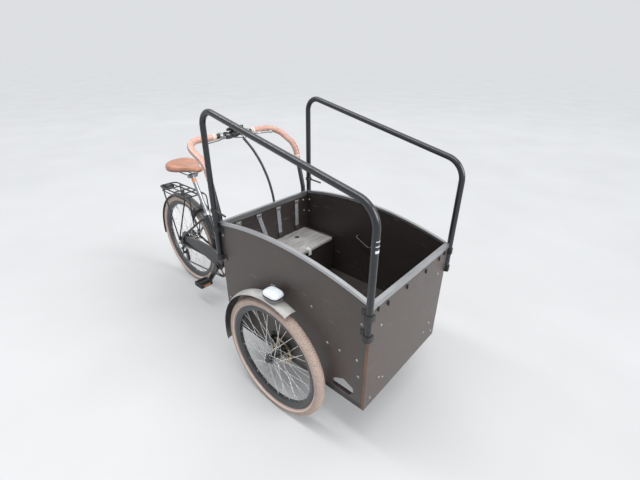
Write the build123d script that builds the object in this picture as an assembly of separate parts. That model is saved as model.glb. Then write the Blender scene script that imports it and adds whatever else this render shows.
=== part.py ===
from build123d import *
from math import asin, atan2, cos, degrees, pi, radians, sin, sqrt, tan
import os

# Electric cargo trike. Millimetres, +X forward, +Y to the rider's left, +Z up.
# The ground is z = 0. The origin is the centre of the plan outline, on the ground.
# The box, the front wheels and the handlebar are one carrier that steers on a kingpin
# under the rear of the box, at the front end of the rear frame.

# Driving dimensions. Places along x are measured from the front axle.
WHEELBASE = 1290.0
FRONT_TYRE_R = 303.0
REAR_TYRE_R = 330.0
TYRE_WIDTH = 50.0
TYRE_HEIGHT = 50.0
FRONT_BEAD_R = FRONT_TYRE_R - TYRE_HEIGHT
REAR_BEAD_R = REAR_TYRE_R - TYRE_HEIGHT

BOX_REAR = -409.0
BOX_FRONT = 458.0
BOX_HALF_WIDTH = 306.0
WHEEL_OUTSIDE_BOX = 61.0
HALF_TRACK = BOX_HALF_WIDTH + WHEEL_OUTSIDE_BOX
PANEL_T = 12.0
SKIRT_Z = 287.0
FLOOR_TOP_Z = 392.0
SIDE_TOP_REAR_Z = 830.0
SIDE_TOP_CROWN_Z = 862.0
SIDE_TOP_CROWN_X = -20.0
SIDE_TOP_FRONT_Z = 783.0
TRIM_T = 2.0
SIDE_TRIM_DROP = 10.0
END_TRIM_DROP = 22.0

BENCH_TOP_Z = 612.0
BENCH_FRONT_X = -182.0
BENCH_SIDE_GAP = 32.0
BENCH_HALF_WIDTH = BOX_HALF_WIDTH - PANEL_T - BENCH_SIDE_GAP

RAIL_R = 13.0
RAIL_REAR_Z = 1345.0
RAIL_FRONT_Z = 1143.0
RAIL_FOOT_Z = 636.0
RAIL_BEND_R = 95.0
RAIL_REAR_BEND_R = 60.0

BAR_R = 12.5
BAR_HALF_WIDTH = BOX_HALF_WIDTH - 20.0
BAR_FOOT_Z = 700.0
BAR_KNEE_Z = 850.0
BAR_SHOULDER_X = -482.0
BAR_SHOULDER_Z = 1085.0
BAR_CROSS_X = -645.0
BAR_CROSS_Z = 1162.0
GRIP_T = 4.0

PIVOT_X = -300.0
KINGPIN_R = 10.0
RUNNING_GAP = 0.05
SEAT_GAP = 0.3
FIT_GAP = 0.1

CHAIN_STAY_RUN = 420.0
CRANK_DROP = 38.0
CRANK_X = CHAIN_STAY_RUN - WHEELBASE
CRANK_Z = REAR_TYRE_R - CRANK_DROP
CRANK_LENGTH = 165.0
CRANK_ANGLE = 235.0
CHAINLINE_Y = -52.0
CHAIN_PITCH = 12.7
CHAINRING_TEETH = 38
SPROCKET_TEETH = 19
SEAT_TUBE_TOP_X = CRANK_X - 152.0
SEAT_TUBE_TOP_Z = CRANK_Z + 321.0
SADDLE_X = CRANK_X - 290.0

RACK_REAR_X = -WHEELBASE - 200.0
RACK_FRONT_X = -WHEELBASE + 160.0
RACK_HALF_WIDTH = 62.0

GUARD_T = 2.5
FRONT_GUARD_R = FRONT_TYRE_R + 30.0
FRONT_GUARD_WIDTH = 62.0
REAR_GUARD_R = REAR_TYRE_R + 13.0
REAR_GUARD_WIDTH = 56.0
RACK_Z = REAR_TYRE_R + REAR_GUARD_R + 28.0

# The rear mudguard is the rearmost point and the rail clamps the foremost.
RAIL_FRONT_X = BOX_FRONT
RAIL_REAR_X = BOX_REAR - 2.0
CLAMP_WALL = 4.0
FRONT_REACH = RAIL_FRONT_X + RAIL_R + CLAMP_WALL
REAR_REACH = WHEELBASE + REAR_GUARD_R
AXLE_X = (REAR_REACH - FRONT_REACH) / 2
AXLE_Z = FRONT_TYRE_R
REAR_X = AXLE_X - WHEELBASE


def at_x(x):
    """A place along x measured from the front axle, in the part's frame."""
    return AXLE_X + x


def block(x_range, y_range, z_range):
    """A box between three pairs of limits, with x measured from the front axle."""
    (x0, x1), (y0, y1), (z0, z1) = x_range, y_range, z_range
    place = Pos(at_x((x0 + x1) / 2), (y0 + y1) / 2, (z0 + z1) / 2)
    return place * Box(abs(x1 - x0), abs(y1 - y0), abs(z1 - z0))


def rod(start, end, radius):
    """A round bar between two points."""
    start, end = Vector(*start), Vector(*end)
    plane = Plane(origin=start, z_dir=end - start)
    return extrude(plane * Circle(radius), (end - start).length)


def tube(points, bends, radius, bore=0.0):
    """A tube along straight runs joined by tangent arcs."""
    path = FilletPolyline(*points, radius=bends) if bends else Polyline(*points)
    section = Circle(radius)
    if bore:
        section -= Circle(bore)
    plane = Plane(origin=path @ 0, z_dir=path % 0)
    return sweep(plane * section, path=path)


def axle_cylinder(x, z, y0, y1, radius):
    """A cylinder along y between two y places, with x in the part's frame."""
    return Pos(x, (y0 + y1) / 2, z) * Rot(90, 0, 0) * Cylinder(radius, abs(y1 - y0))


def turned(section_points, x, y, z):
    """A solid turned about the y direction through (x, y, z) from (y, radius) points."""
    outline = Polyline(*[(across, radius) for across, radius in section_points], close=True)
    face = make_face(outline)
    solid = revolve(face, Axis.X, 360)
    return Pos(x, y, z) * Rot(0, 0, 90) * solid


def both_sides(shape):
    """The shape on the right side and its mirror image on the left."""
    return shape, mirror(shape, about=Plane.XZ)


def write(name, *solids):
    """Write one node, as one solid or as several that lie apart."""
    os.makedirs("parts", exist_ok=True)
    shape = solids[0] if len(solids) == 1 else Compound(children=list(solids))
    export_step(shape, f"parts/{name}.step")


# Wheels
RIM_DEPTH = 18.0
RIM_HALF_WIDTH = 16.0
RIM_LIP = 2.5
RIM_LIP_HEIGHT = 9.0
SPOKE_R = 1.1
SPOKES = 36
CROSS_ANGLE = 60.0
FLANGE_T = 5.0
FRONT_HUB_R = 17.0
FRONT_FLANGE_R = 29.0
FRONT_FLANGE_Y = 24.0
STUB_R = 7.5
ROTOR_R = 70.0
ROTOR_T = 2.0


def rim(bead_r, x, y, z):
    """A deep box-section rim with a lip each side of the tyre's seat."""
    lip = RIM_HALF_WIDTH - RIM_LIP
    top = bead_r + RIM_LIP_HEIGHT
    half = [(RIM_HALF_WIDTH, bead_r - 4), (9, bead_r - RIM_DEPTH)]
    points = [(-lip, top), (-lip, bead_r), (lip, bead_r), (lip, top), (RIM_HALF_WIDTH, top)]
    points += half + [(-a, r) for a, r in reversed(half)] + [(-RIM_HALF_WIDTH, top)]
    return turned(points, x, y, z)


def tyre(outer_r, bead_r, x, y, z):
    """A round tyre that sits between the rim's lips."""
    seat = RIM_HALF_WIDTH - RIM_LIP - SEAT_GAP
    base = bead_r + SEAT_GAP
    shoulder = bead_r + RIM_LIP_HEIGHT + SEAT_GAP
    side_r = outer_r - TYRE_WIDTH / 2
    half = TYRE_WIDTH / 2
    edge = [
        Line((-seat, base), (seat, base)),
        Line((seat, base), (seat, shoulder)),
        ThreePointArc((seat, shoulder), (half * 0.86, shoulder + 5), (half, side_r)),
        ThreePointArc((half, side_r), (0, outer_r), (-half, side_r)),
        ThreePointArc((-half, side_r), (-half * 0.86, shoulder + 5), (-seat, shoulder)),
        Line((-seat, shoulder), (-seat, base)),
    ]
    face = make_face(Curve() + edge)
    return Pos(x, y, z) * Rot(0, 0, 90) * revolve(face, Axis.X, 360)


def spokes(hub, flange_r, flange_y, rim_r):
    """Laced spokes: from each flange they leave along the tangent, half of them each way."""
    per_side = SPOKES // 2
    step = 360 / per_side
    bars = []
    for side in (-1, 1):
        for i in range(per_side):
            lean = 1 if i % 2 else -1
            hole = radians(i * step + side * step / 4)
            end = hole + lean * radians(CROSS_ANGLE)
            y0 = side * flange_y + lean * FLANGE_T * 0.42
            start = Vector(flange_r * cos(hole), y0, flange_r * sin(hole))
            stop = Vector(rim_r * cos(end), side * 3, rim_r * sin(end))
            plane = Plane(origin=start, z_dir=stop - start)
            bars.append(extrude(plane * RegularPolygon(SPOKE_R * 1.1, 6), (stop - start).length))
    return hub.fuse(*bars)


# Front stub axles, from the box side outwards. Right side has negative y.
CARRIER_T = 6.0
ROTOR_SPIGOT_R = 15.0
ROTOR_GAP_TO_BOX = 16.0
HUB_OUTER = 34.0
HUB_INNER = 48.0
NUT_R = 12.0
NUT_LENGTH = 9.0


def front_wheel():
    """Tyre, rim, laced hub and brake rotor of the right front wheel."""
    x, y, z = AXLE_X, -HALF_TRACK, AXLE_Z
    # Across the wheel: 0 is its centre plane and + is towards the box.
    rotor_across = HALF_TRACK - BOX_HALF_WIDTH - ROTOR_GAP_TO_BOX
    bore = STUB_R + RUNNING_GAP
    f, t = FRONT_FLANGE_Y, FLANGE_T / 2
    profile = [
        (-HUB_OUTER, bore), (-HUB_OUTER, 13), (-f - t, 15), (-f - t, FRONT_FLANGE_R),
        (-f + t, FRONT_FLANGE_R), (-f + t, FRONT_HUB_R), (f - t, FRONT_HUB_R),
        (f - t, FRONT_FLANGE_R), (f + t, FRONT_FLANGE_R), (f + t, 22),
        (rotor_across - ROTOR_T / 2, 22), (rotor_across - ROTOR_T / 2, ROTOR_SPIGOT_R),
        (HUB_INNER, ROTOR_SPIGOT_R), (HUB_INNER, bore),
    ]
    hub = turned(profile, 0, 0, 0)
    rim_in = FRONT_BEAD_R - RIM_DEPTH - 2 * SEAT_GAP
    laced = Pos(x, y, z) * spokes(hub, FRONT_FLANGE_R - 3, FRONT_FLANGE_Y, rim_in)
    rotor = Pos(x, y + rotor_across, z) * Rot(90, 0, 0) * rotor_disc(ROTOR_SPIGOT_R + FIT_GAP)
    return (tyre(FRONT_TYRE_R, FRONT_BEAD_R, x, y, z), rim(FRONT_BEAD_R, x, y, z), laced, rotor)


ROTOR_BAND = 13.0
ROTOR_CENTRE_R = 26.0
ROTOR_ARMS = 6
ROTOR_ARM_WIDTH = 7.0


def rotor_disc(bore_r):
    """A brake rotor: outer band, centre ring and swept arms, flat on the xy plane."""
    band = Circle(ROTOR_R) - Circle(ROTOR_R - ROTOR_BAND)
    centre = Circle(ROTOR_CENTRE_R) - Circle(bore_r)
    length = ROTOR_R - ROTOR_BAND / 2 - ROTOR_CENTRE_R + 6
    arm = Pos(0, length / 2) * Rectangle(ROTOR_ARM_WIDTH, length)
    arm = Pos(0, ROTOR_CENTRE_R - 4) * Rot(0, 0, 20) * arm
    face = band + centre
    for i in range(ROTOR_ARMS):
        face += Rot(0, 0, i * 360 / ROTOR_ARMS) * arm
    return extrude(face, ROTOR_T / 2, both=True)


REAR_HUB_R = 60.0
REAR_HUB_HALF = 34.0
REAR_AXLE_R = 6.0
DROPOUT_Y = 67.5
DROPOUT_T = 6.0
SPROCKET_T = 1.8
TOOTH_HEIGHT = 3.4
PIN_R = 2.0
COG_SPACING = 5.0
CASSETTE_BORE = 18.0
CASSETTE_SLEEVE_R = 24.0
HUB_END_Y = -60.0
# Teeth of each cog, from the outer, smallest one inwards.
COGS = (16, SPROCKET_TEETH, 22, 25, 28)
# A tooth's outline: share of the pitch angle, share of the tooth's height.
TOOTH = ((0.25, 0.0), (0.42, 1.0), (0.58, 1.0), (0.75, 0.0))


def pitch_radius(teeth):
    """Radius on which the chain's pins lie round a wheel with this many teeth."""
    return CHAIN_PITCH / (2 * sin(pi / teeth))


def toothed_disc(teeth, thickness):
    """A chain wheel on the xy plane. Its teeth reach between the chain's plates, short of the pins."""
    root = pitch_radius(teeth) - PIN_R - SEAT_GAP - TOOTH_HEIGHT
    points = []
    for i in range(teeth):
        for share, height in TOOTH:
            angle = 2 * pi * (i + share) / teeth
            radius = root + height * TOOTH_HEIGHT
            points.append((radius * cos(angle), radius * sin(angle)))
    return extrude(make_face(Polyline(*points, close=True)), thickness / 2, both=True)


def cassette():
    """The stack of cogs on one sleeve, on the right of the rear hub."""
    y_out = CHAINLINE_Y - COG_SPACING
    y_in = y_out + COG_SPACING * (len(COGS) - 1)
    half = SPROCKET_T / 2
    stack = axle_cylinder(REAR_X, REAR_TYRE_R, y_out - half, y_in + half, CASSETTE_SLEEVE_R)
    for i, teeth in enumerate(COGS):
        place = Pos(REAR_X, y_out + i * COG_SPACING, REAR_TYRE_R) * Rot(90, 0, 0)
        stack = stack.fuse(place * toothed_disc(teeth, SPROCKET_T))
    return stack - axle_cylinder(REAR_X, REAR_TYRE_R, y_out - 5, y_in + 5, CASSETTE_BORE)


def rear_wheel():
    """Tyre, rim, laced motor hub and sprocket of the rear wheel."""
    x, z = REAR_X, REAR_TYRE_R
    bore = REAR_AXLE_R + RUNNING_GAP
    f, t = 27.0, FLANGE_T / 2
    # Across the wheel: + is towards the left. The cassette sits on the spigot up to its shoulder.
    spigot = CASSETTE_BORE - FIT_GAP
    shoulder_y = CHAINLINE_Y + COG_SPACING * (len(COGS) - 2) + SPROCKET_T / 2 + FIT_GAP
    profile = [
        (HUB_END_Y, bore), (HUB_END_Y, spigot), (shoulder_y, spigot), (shoulder_y, 23),
        (-REAR_HUB_HALF, 24), (-REAR_HUB_HALF, REAR_HUB_R - 6), (-f - t, REAR_HUB_R),
        (-f - t, REAR_HUB_R + 7), (-f + t, REAR_HUB_R + 7), (-f + t, REAR_HUB_R),
        (f - t, REAR_HUB_R), (f - t, REAR_HUB_R + 7), (f + t, REAR_HUB_R + 7),
        (f + t, REAR_HUB_R), (REAR_HUB_HALF, REAR_HUB_R - 6), (REAR_HUB_HALF, 24),
        (60, 18), (60, bore),
    ]
    hub = turned(profile, 0, 0, 0)
    rim_in = REAR_BEAD_R - RIM_DEPTH - 2 * SEAT_GAP
    laced = Pos(x, 0, z) * spokes(hub, REAR_HUB_R + 4, f, rim_in)
    return (tyre(REAR_TYRE_R, REAR_BEAD_R, x, 0, z), rim(REAR_BEAD_R, x, 0, z), laced, cassette())


# Box panels
SUB_TUBE = 25.0
SUB_Z0 = SKIRT_Z - SUB_TUBE
CUTOUT = ((289, 300), (304, 338), (352, 366), (402, 346), (406, 318), (384, 296))
AXLE_NOTCH_HALF = 36.0
AXLE_NOTCH_TOP = 340.0


def side_panel():
    """The right side panel, with its arched top, its drop-shaped cut-out and axle notch."""
    x0, x1 = BOX_REAR + PANEL_T, BOX_FRONT - PANEL_T
    top = ThreePointArc((x0, SIDE_TOP_REAR_Z), (SIDE_TOP_CROWN_X, SIDE_TOP_CROWN_Z), (x1, SIDE_TOP_FRONT_Z))
    low = Polyline((x0, SIDE_TOP_REAR_Z), (x0, SKIRT_Z), (x1, SKIRT_Z), (x1, SIDE_TOP_FRONT_Z))
    face = make_face(Curve() + [top, low])
    drop = fillet(make_face(Polyline(*CUTOUT, close=True)).vertices(), 12)
    notch_height = AXLE_NOTCH_TOP - SKIRT_Z + 10
    notch = Pos(0, AXLE_NOTCH_TOP - notch_height / 2) * Rectangle(2 * AXLE_NOTCH_HALF, notch_height)
    face -= drop
    face -= notch
    plane = Plane(origin=(AXLE_X, -BOX_HALF_WIDTH, 0), x_dir=(1, 0, 0), z_dir=(0, -1, 0))
    return extrude(plane * face, -PANEL_T)


def side_trim():
    """The channel along the arched top edge of the right side panel."""
    x0, x1 = BOX_REAR + PANEL_T + 4, BOX_FRONT - PANEL_T - 4
    z0 = arch_z(x0)
    z1 = arch_z(x1)
    up = TRIM_T + SEAT_GAP
    def band(low, high):
        a = ThreePointArc((x0, z0 + high), (SIDE_TOP_CROWN_X, SIDE_TOP_CROWN_Z + high), (x1, z1 + high))
        b = Line((x1, z1 + high), (x1, z1 - low))
        c = ThreePointArc((x1, z1 - low), (SIDE_TOP_CROWN_X, SIDE_TOP_CROWN_Z - low), (x0, z0 - low))
        d = Line((x0, z0 - low), (x0, z0 + high))
        return make_face(Curve() + [a, b, c, d])
    plane = Plane(origin=(AXLE_X, -BOX_HALF_WIDTH - TRIM_T - SEAT_GAP, 0), x_dir=(1, 0, 0), z_dir=(0, -1, 0))
    width = PANEL_T + 2 * (TRIM_T + SEAT_GAP)
    outer = extrude(plane * band(SIDE_TRIM_DROP, up), -width)
    inner = Plane(origin=(AXLE_X, -BOX_HALF_WIDTH - SEAT_GAP, 0), x_dir=(1, 0, 0), z_dir=(0, -1, 0))
    core = extrude(inner * band(SIDE_TRIM_DROP + 20, SEAT_GAP), -(PANEL_T + 2 * SEAT_GAP))
    return outer - core


def arch_z(x):
    """Height of the side panel's arched top edge at a place along x."""
    x0, x1 = BOX_REAR + PANEL_T, BOX_FRONT - PANEL_T
    centre_x, centre_z, radius = circle_through(
        (x0, SIDE_TOP_REAR_Z), (SIDE_TOP_CROWN_X, SIDE_TOP_CROWN_Z), (x1, SIDE_TOP_FRONT_Z)
    )
    return centre_z + sqrt(radius**2 - (x - centre_x) ** 2)


def circle_through(a, b, c):
    """Centre and radius of the circle through three points."""
    (ax, ay), (bx, by), (cx, cy) = a, b, c
    d = 2 * (ax * (by - cy) + bx * (cy - ay) + cx * (ay - by))
    a2, b2, c2 = ax * ax + ay * ay, bx * bx + by * by, cx * cx + cy * cy
    ux = (a2 * (by - cy) + b2 * (cy - ay) + c2 * (ay - by)) / d
    uy = (a2 * (cx - bx) + b2 * (ax - cx) + c2 * (bx - ax)) / d
    return ux, uy, sqrt((ax - ux) ** 2 + (ay - uy) ** 2)


def end_trim(x_out, inward, z_top):
    """The channel on the top edge of the front or rear panel."""
    gap = SEAT_GAP + TRIM_T
    x_in = x_out + inward * PANEL_T
    low = z_top - END_TRIM_DROP
    y = BOX_HALF_WIDTH
    outer = block((x_out - inward * gap, x_in + inward * gap), (-y, y), (low, z_top + gap))
    core_x = (x_out - inward * SEAT_GAP, x_in + inward * SEAT_GAP)
    core = block(core_x, (-y - 5, y + 5), (low - 5, z_top + SEAT_GAP))
    # The inner flange stops short of the side panels.
    end_y = (-y - 5, -y + PANEL_T + TRIM_T + 1)
    ends = block((x_in, x_in + inward * 20), end_y, (low - 5, z_top + 20))
    return outer - core - ends - mirror(ends, about=Plane.XZ)


REAR_PANEL_Z0 = FLOOR_TOP_Z - 42.0


def box_panels():
    """Side, front, rear and floor panels, bench and riser."""
    right, left = both_sides(side_panel())
    write("box_side_right", right)
    write("box_side_left", left)
    y = BOX_HALF_WIDTH
    front_top = SIDE_TOP_FRONT_Z
    rear_top = SIDE_TOP_REAR_Z
    write("box_front", block((BOX_FRONT - PANEL_T, BOX_FRONT), (-y, y), (SUB_Z0, front_top)))
    write("box_rear", block((BOX_REAR, BOX_REAR + PANEL_T), (-y, y), (REAR_PANEL_Z0, rear_top)))
    inner = y - PANEL_T
    write("side_trims", *both_sides(side_trim()))
    write("end_trims", end_trim(BOX_REAR, 1, rear_top), end_trim(BOX_FRONT, -1, front_top))
    under = BENCH_TOP_Z - PANEL_T
    bench_x = (BOX_REAR + PANEL_T + SEAT_GAP, BENCH_FRONT_X)
    write("bench_seat", block(bench_x, (-BENCH_HALF_WIDTH, BENCH_HALF_WIDTH), (under, BENCH_TOP_Z)))
    riser_x = BENCH_FRONT_X - 18
    floor = ((BOX_REAR + PANEL_T, riser_x), (riser_x + SEAT_GAP, BOX_FRONT - PANEL_T))
    write("box_floor", *[block(run, (-inner, inner), (FLOOR_TOP_Z - PANEL_T, FLOOR_TOP_Z)) for run in floor])
    write("bench_riser", block((riser_x - PANEL_T, riser_x), (-inner, inner), (FLOOR_TOP_Z, under)))
    cleat_y = (-inner, -BENCH_HALF_WIDTH + 30)
    cleat = block((BOX_REAR + PANEL_T, riser_x - PANEL_T), cleat_y, (under - 20, under))
    write("bench_cleats", *both_sides(cleat))


# Front subframe
AXLE_BEAM = 40.0
HEAD_TUBE_R = 25.0
HEAD_Z0 = 238.0
HEAD_Z1 = 338.0
YOKE_T = 6.0
YOKE_HALF = 45.0
YOKE_FRONT = 52.0
BRACE_TUBE = 25.0
STRUT_Y = (20.0, 42.0)
STRUT_HALF = 14.0


def subframe():
    """The carrier's ladder frame with its axle beam, floor bearers and steering yoke."""
    inner = BOX_HALF_WIDTH - SUB_TUBE
    x0, x1 = BOX_REAR + PANEL_T, BOX_FRONT - PANEL_T
    y = BOX_HALF_WIDTH
    z_floor = FLOOR_TOP_Z - PANEL_T
    z_bear = z_floor - BRACE_TUBE
    body = block((x0, x1), (-y, -inner), (SUB_Z0, SKIRT_Z))
    body = body.fuse(block((x0, x1), (inner, y), (SUB_Z0, SKIRT_Z)))
    inner_wall = BOX_HALF_WIDTH - PANEL_T
    parts = [block((x1 - SUB_TUBE, x1), (-inner - 1, inner + 1), (SUB_Z0, SKIRT_Z))]
    # Posts stand on the ladder and carry the floor bearers.
    for x in (x0, x1 - SUB_TUBE):
        for side in (-1, 1):
            post_y = (side * inner_wall, side * (inner_wall - SUB_TUBE))
            parts.append(block((x, x + SUB_TUBE), post_y, (SUB_Z0 + 2, z_floor)))
    bearer_rows = (x0, PIVOT_X - HEAD_TUBE_R - 34, PIVOT_X + HEAD_TUBE_R + 14, x1 - SUB_TUBE)
    for x in bearer_rows:
        parts.append(block((x, x + SUB_TUBE), (-inner_wall, inner_wall), (z_bear, z_floor)))
    for side in (-1, 1):
        parts.append(block((x0, x1), (side * inner_wall, side * (inner_wall - SUB_TUBE)), (z_bear, z_floor)))
    half = AXLE_BEAM / 2
    parts.append(block((-half, half), (-y, y), (AXLE_Z - half, AXLE_Z + half)))
    # Side plates under the floor carry the axle beam.
    for side in (-1, 1):
        plate_y = (side * inner_wall, side * (inner_wall - SUB_TUBE))
        parts.append(block((-half, half), plate_y, (AXLE_Z, z_bear + 5)))
    # Yoke: plates above and below the head tube, joined by a web ahead of it.
    yoke_x = (PIVOT_X - HEAD_TUBE_R - 34, PIVOT_X + YOKE_FRONT)
    low0 = HEAD_Z0 - SEAT_GAP - YOKE_T
    high0 = HEAD_Z1 + SEAT_GAP
    across = (-YOKE_HALF, YOKE_HALF)
    yoke_front = PIVOT_X + YOKE_FRONT
    parts.append(block(yoke_x, across, (high0, z_bear + 2)))
    parts.append(block((PIVOT_X - HEAD_TUBE_R, yoke_front), across, (low0, low0 + YOKE_T)))
    parts.append(block((yoke_front - 10, yoke_front), across, (low0, high0 + 4)))
    # Struts from the yoke to the axle beam.
    for side in (-1, 1):
        strut_y = [side * y for y in STRUT_Y]
        parts.append(block((yoke_front - 5, 5 - half), strut_y, (AXLE_Z - STRUT_HALF, AXLE_Z + STRUT_HALF)))
    body = body.fuse(*parts)
    pin_hole = Pos(at_x(PIVOT_X), 0, AXLE_Z) * Cylinder(KINGPIN_R + RUNNING_GAP, 2 * HALF_TRACK)
    return body - pin_hole


def kingpin():
    """The steering pin with its head above the yoke and its nut below."""
    x = at_x(PIVOT_X)
    top = FLOOR_TOP_Z - PANEL_T - BRACE_TUBE + 2
    bottom = HEAD_Z0 - SEAT_GAP - YOKE_T
    shank = rod((x, 0, bottom - 16), (x, 0, top + 2), KINGPIN_R)
    head = Pos(x, 0, top + 5) * Cylinder(17, 10)
    nut = Pos(x, 0, bottom - 7) * extrude(RegularPolygon(17, 6), 7, both=True)
    return shank.fuse(head, nut)


def stub_axle():
    """Right stub axle: carrier plate on the box side, shouldered axle and nut."""
    plate = block((-75, 55), (-BOX_HALF_WIDTH - CARRIER_T, -BOX_HALF_WIDTH), (AXLE_Z - 34, AXLE_Z + 70))
    plate = fillet(plate.edges().filter_by(Axis.Y), 14)
    y_plate = -BOX_HALF_WIDTH - CARRIER_T
    y_hub_in = -HALF_TRACK + HUB_INNER
    y_hub_out = -HALF_TRACK - HUB_OUTER
    collar = axle_cylinder(AXLE_X, AXLE_Z, y_plate + 1, y_hub_in + SEAT_GAP, 12)
    pin = axle_cylinder(AXLE_X, AXLE_Z, y_plate + 1, y_hub_out - NUT_LENGTH, STUB_R)
    nut = axle_cylinder(AXLE_X, AXLE_Z, y_hub_out - SEAT_GAP, y_hub_out - SEAT_GAP - NUT_LENGTH, NUT_R)
    nut = fillet(nut.edges().filter_by(GeomType.CIRCLE).sort_by(Axis.Y)[0], 3)
    return plate.fuse(collar, pin, nut)


CALIPER_SLOT = 5.0
CALIPER_ANGLE = 148.0


def caliper():
    """Right brake caliper, on the carrier plate, straddling the rotor's edge."""
    rotor_y = -BOX_HALF_WIDTH - ROTOR_GAP_TO_BOX
    y_in = -BOX_HALF_WIDTH - CARRIER_T
    y_out = rotor_y - 12
    radius = ROTOR_R - 4
    x = radius * cos(radians(CALIPER_ANGLE))
    z = AXLE_Z + radius * sin(radians(CALIPER_ANGLE))
    body = Box(44, abs(y_out - y_in), 34)
    body = fillet(body.edges().filter_by(Axis.Y), 7)
    body = Pos(at_x(x), (y_in + y_out) / 2, z) * Rot(0, 90 - CALIPER_ANGLE, 0) * body
    slot = axle_cylinder(AXLE_X, AXLE_Z, rotor_y - CALIPER_SLOT / 2, rotor_y + CALIPER_SLOT / 2, ROTOR_R + 4)
    return body - slot


# Front mudguards and lamps
GUARD_START = 68.0
GUARD_END = 192.0


def guard_ring(outer_r, width, start, end, x, y, z):
    """A thin arched mudguard section turned through an angle measured up from forward."""
    half = width / 2
    drop = 11.0
    t = GUARD_T
    edge = [
        ThreePointArc((-half, outer_r - drop), (0, outer_r), (half, outer_r - drop)),
        Line((half, outer_r - drop), (half - t, outer_r - drop)),
        ThreePointArc((half - t, outer_r - drop), (0, outer_r - t), (-half + t, outer_r - drop)),
        Line((-half + t, outer_r - drop), (-half, outer_r - drop)),
    ]
    face = make_face(Curve() + edge)
    arc = revolve(face, Axis.X, end - start)
    # The turn starts at the back, so the section is first brought to the far end's angle.
    return Pos(x, y, z) * Rot(0, 0, 90) * Rot(180 - end, 0, 0) * arc


def polar(radius, angle, x=None, z=None):
    """A point on a circle in the side view, with the angle measured up from forward."""
    cx = AXLE_X if x is None else x
    cz = AXLE_Z if z is None else z
    return cx + radius * cos(radians(angle)), cz + radius * sin(radians(angle))


def front_guard():
    """Right front mudguard with its two brackets to the box side."""
    guard = guard_ring(FRONT_GUARD_R, FRONT_GUARD_WIDTH, GUARD_START, GUARD_END, AXLE_X, -HALF_TRACK, AXLE_Z)
    edge_y = -HALF_TRACK + FRONT_GUARD_WIDTH / 2
    parts = []
    for angle in (98, 176):
        px, pz = polar(FRONT_GUARD_R - 8, angle)
        arm = Pos(px, (edge_y - 8 - BOX_HALF_WIDTH) / 2, pz) * Rot(0, 90 - angle, 0)
        parts.append(arm * Box(28, abs(edge_y) + 8 - BOX_HALF_WIDTH, 3))
        foot = Pos(px, -BOX_HALF_WIDTH - 1.5, pz) * Rot(0, 90 - angle, 0)
        parts.append(foot * Box(28, 3, 34))
    return guard.fuse(*parts)


LAMP_X = (-24.0, 66.0)
LAMP_Y = (-HALF_TRACK - 31.0, -HALF_TRACK + 45.0)
LAMP_TOP_Z = FRONT_TYRE_R + FRONT_GUARD_R + 46.0
LAMP_SPLIT_Z = LAMP_TOP_Z - 12.0
LAMP_SPLIT_SLOPE = 0.12


def lamp():
    """Right headlamp: housing on the mudguard's crown, with a clear cap over top and front."""
    x0, x1 = LAMP_X
    guard_top = AXLE_Z + FRONT_GUARD_R
    profile = [
        (x0, guard_top - 10), (x0, LAMP_TOP_Z - 6), (x0 + 12, LAMP_TOP_Z),
        (x1 - 22, LAMP_TOP_Z - 6), (x1, LAMP_TOP_Z - 30), (x1, guard_top - 14),
    ]
    plane = Plane(origin=(AXLE_X, (LAMP_Y[0] + LAMP_Y[1]) / 2, 0), x_dir=(1, 0, 0), z_dir=(0, -1, 0))
    width = LAMP_Y[1] - LAMP_Y[0]
    body = extrude(plane * make_face(Polyline(*profile, close=True)), width / 2, both=True)
    body = fillet(body.edges().filter_by(Axis.Z) + body.edges().filter_by(Axis.Y).sort_by(Axis.Z)[-3:], 5)
    body -= axle_cylinder(AXLE_X, AXLE_Z, LAMP_Y[0] - 5, LAMP_Y[1] + 5, FRONT_GUARD_R + SEAT_GAP)
    slope = LAMP_SPLIT_SLOPE
    cut = Plane(origin=(at_x(x0), 0, LAMP_SPLIT_Z), x_dir=(1, 0, -slope), z_dir=(slope, 0, 1))
    upper = split(body, bisect_by=cut, keep=Keep.TOP)
    lower = split(body, bisect_by=cut, keep=Keep.BOTTOM)
    return lower, upper


# Canopy rails
def rail():
    """Right canopy rail: a sloping tube with a bent leg down each end."""
    y = -BOX_HALF_WIDTH - RAIL_R - SEAT_GAP
    x0, x1 = at_x(RAIL_REAR_X), at_x(RAIL_FRONT_X)
    points = [(x0, y, RAIL_FOOT_Z), (x0, y, RAIL_REAR_Z), (x1, y, RAIL_FRONT_Z), (x1, y, RAIL_FOOT_Z)]
    return tube(points, [RAIL_REAR_BEND_R, RAIL_BEND_R], RAIL_R)


CLAMP_HEIGHT = 26.0
CLAMP_EAR = 40.0
CLAMP_EAR_T = 3.0
# Where each clamp sits on its leg, and which way along x its ear points.
CLAMP_ROWS = (
    (RAIL_REAR_X, 800.0, 1),
    (RAIL_REAR_X, 652.0, 1),
    (RAIL_FRONT_X, 742.0, -1),
    (RAIL_FRONT_X, 652.0, -1),
)
LOCK_Z = 895.0
LOCK_HEIGHT = 14.0
LOCK_LEVER = 88.0


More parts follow.
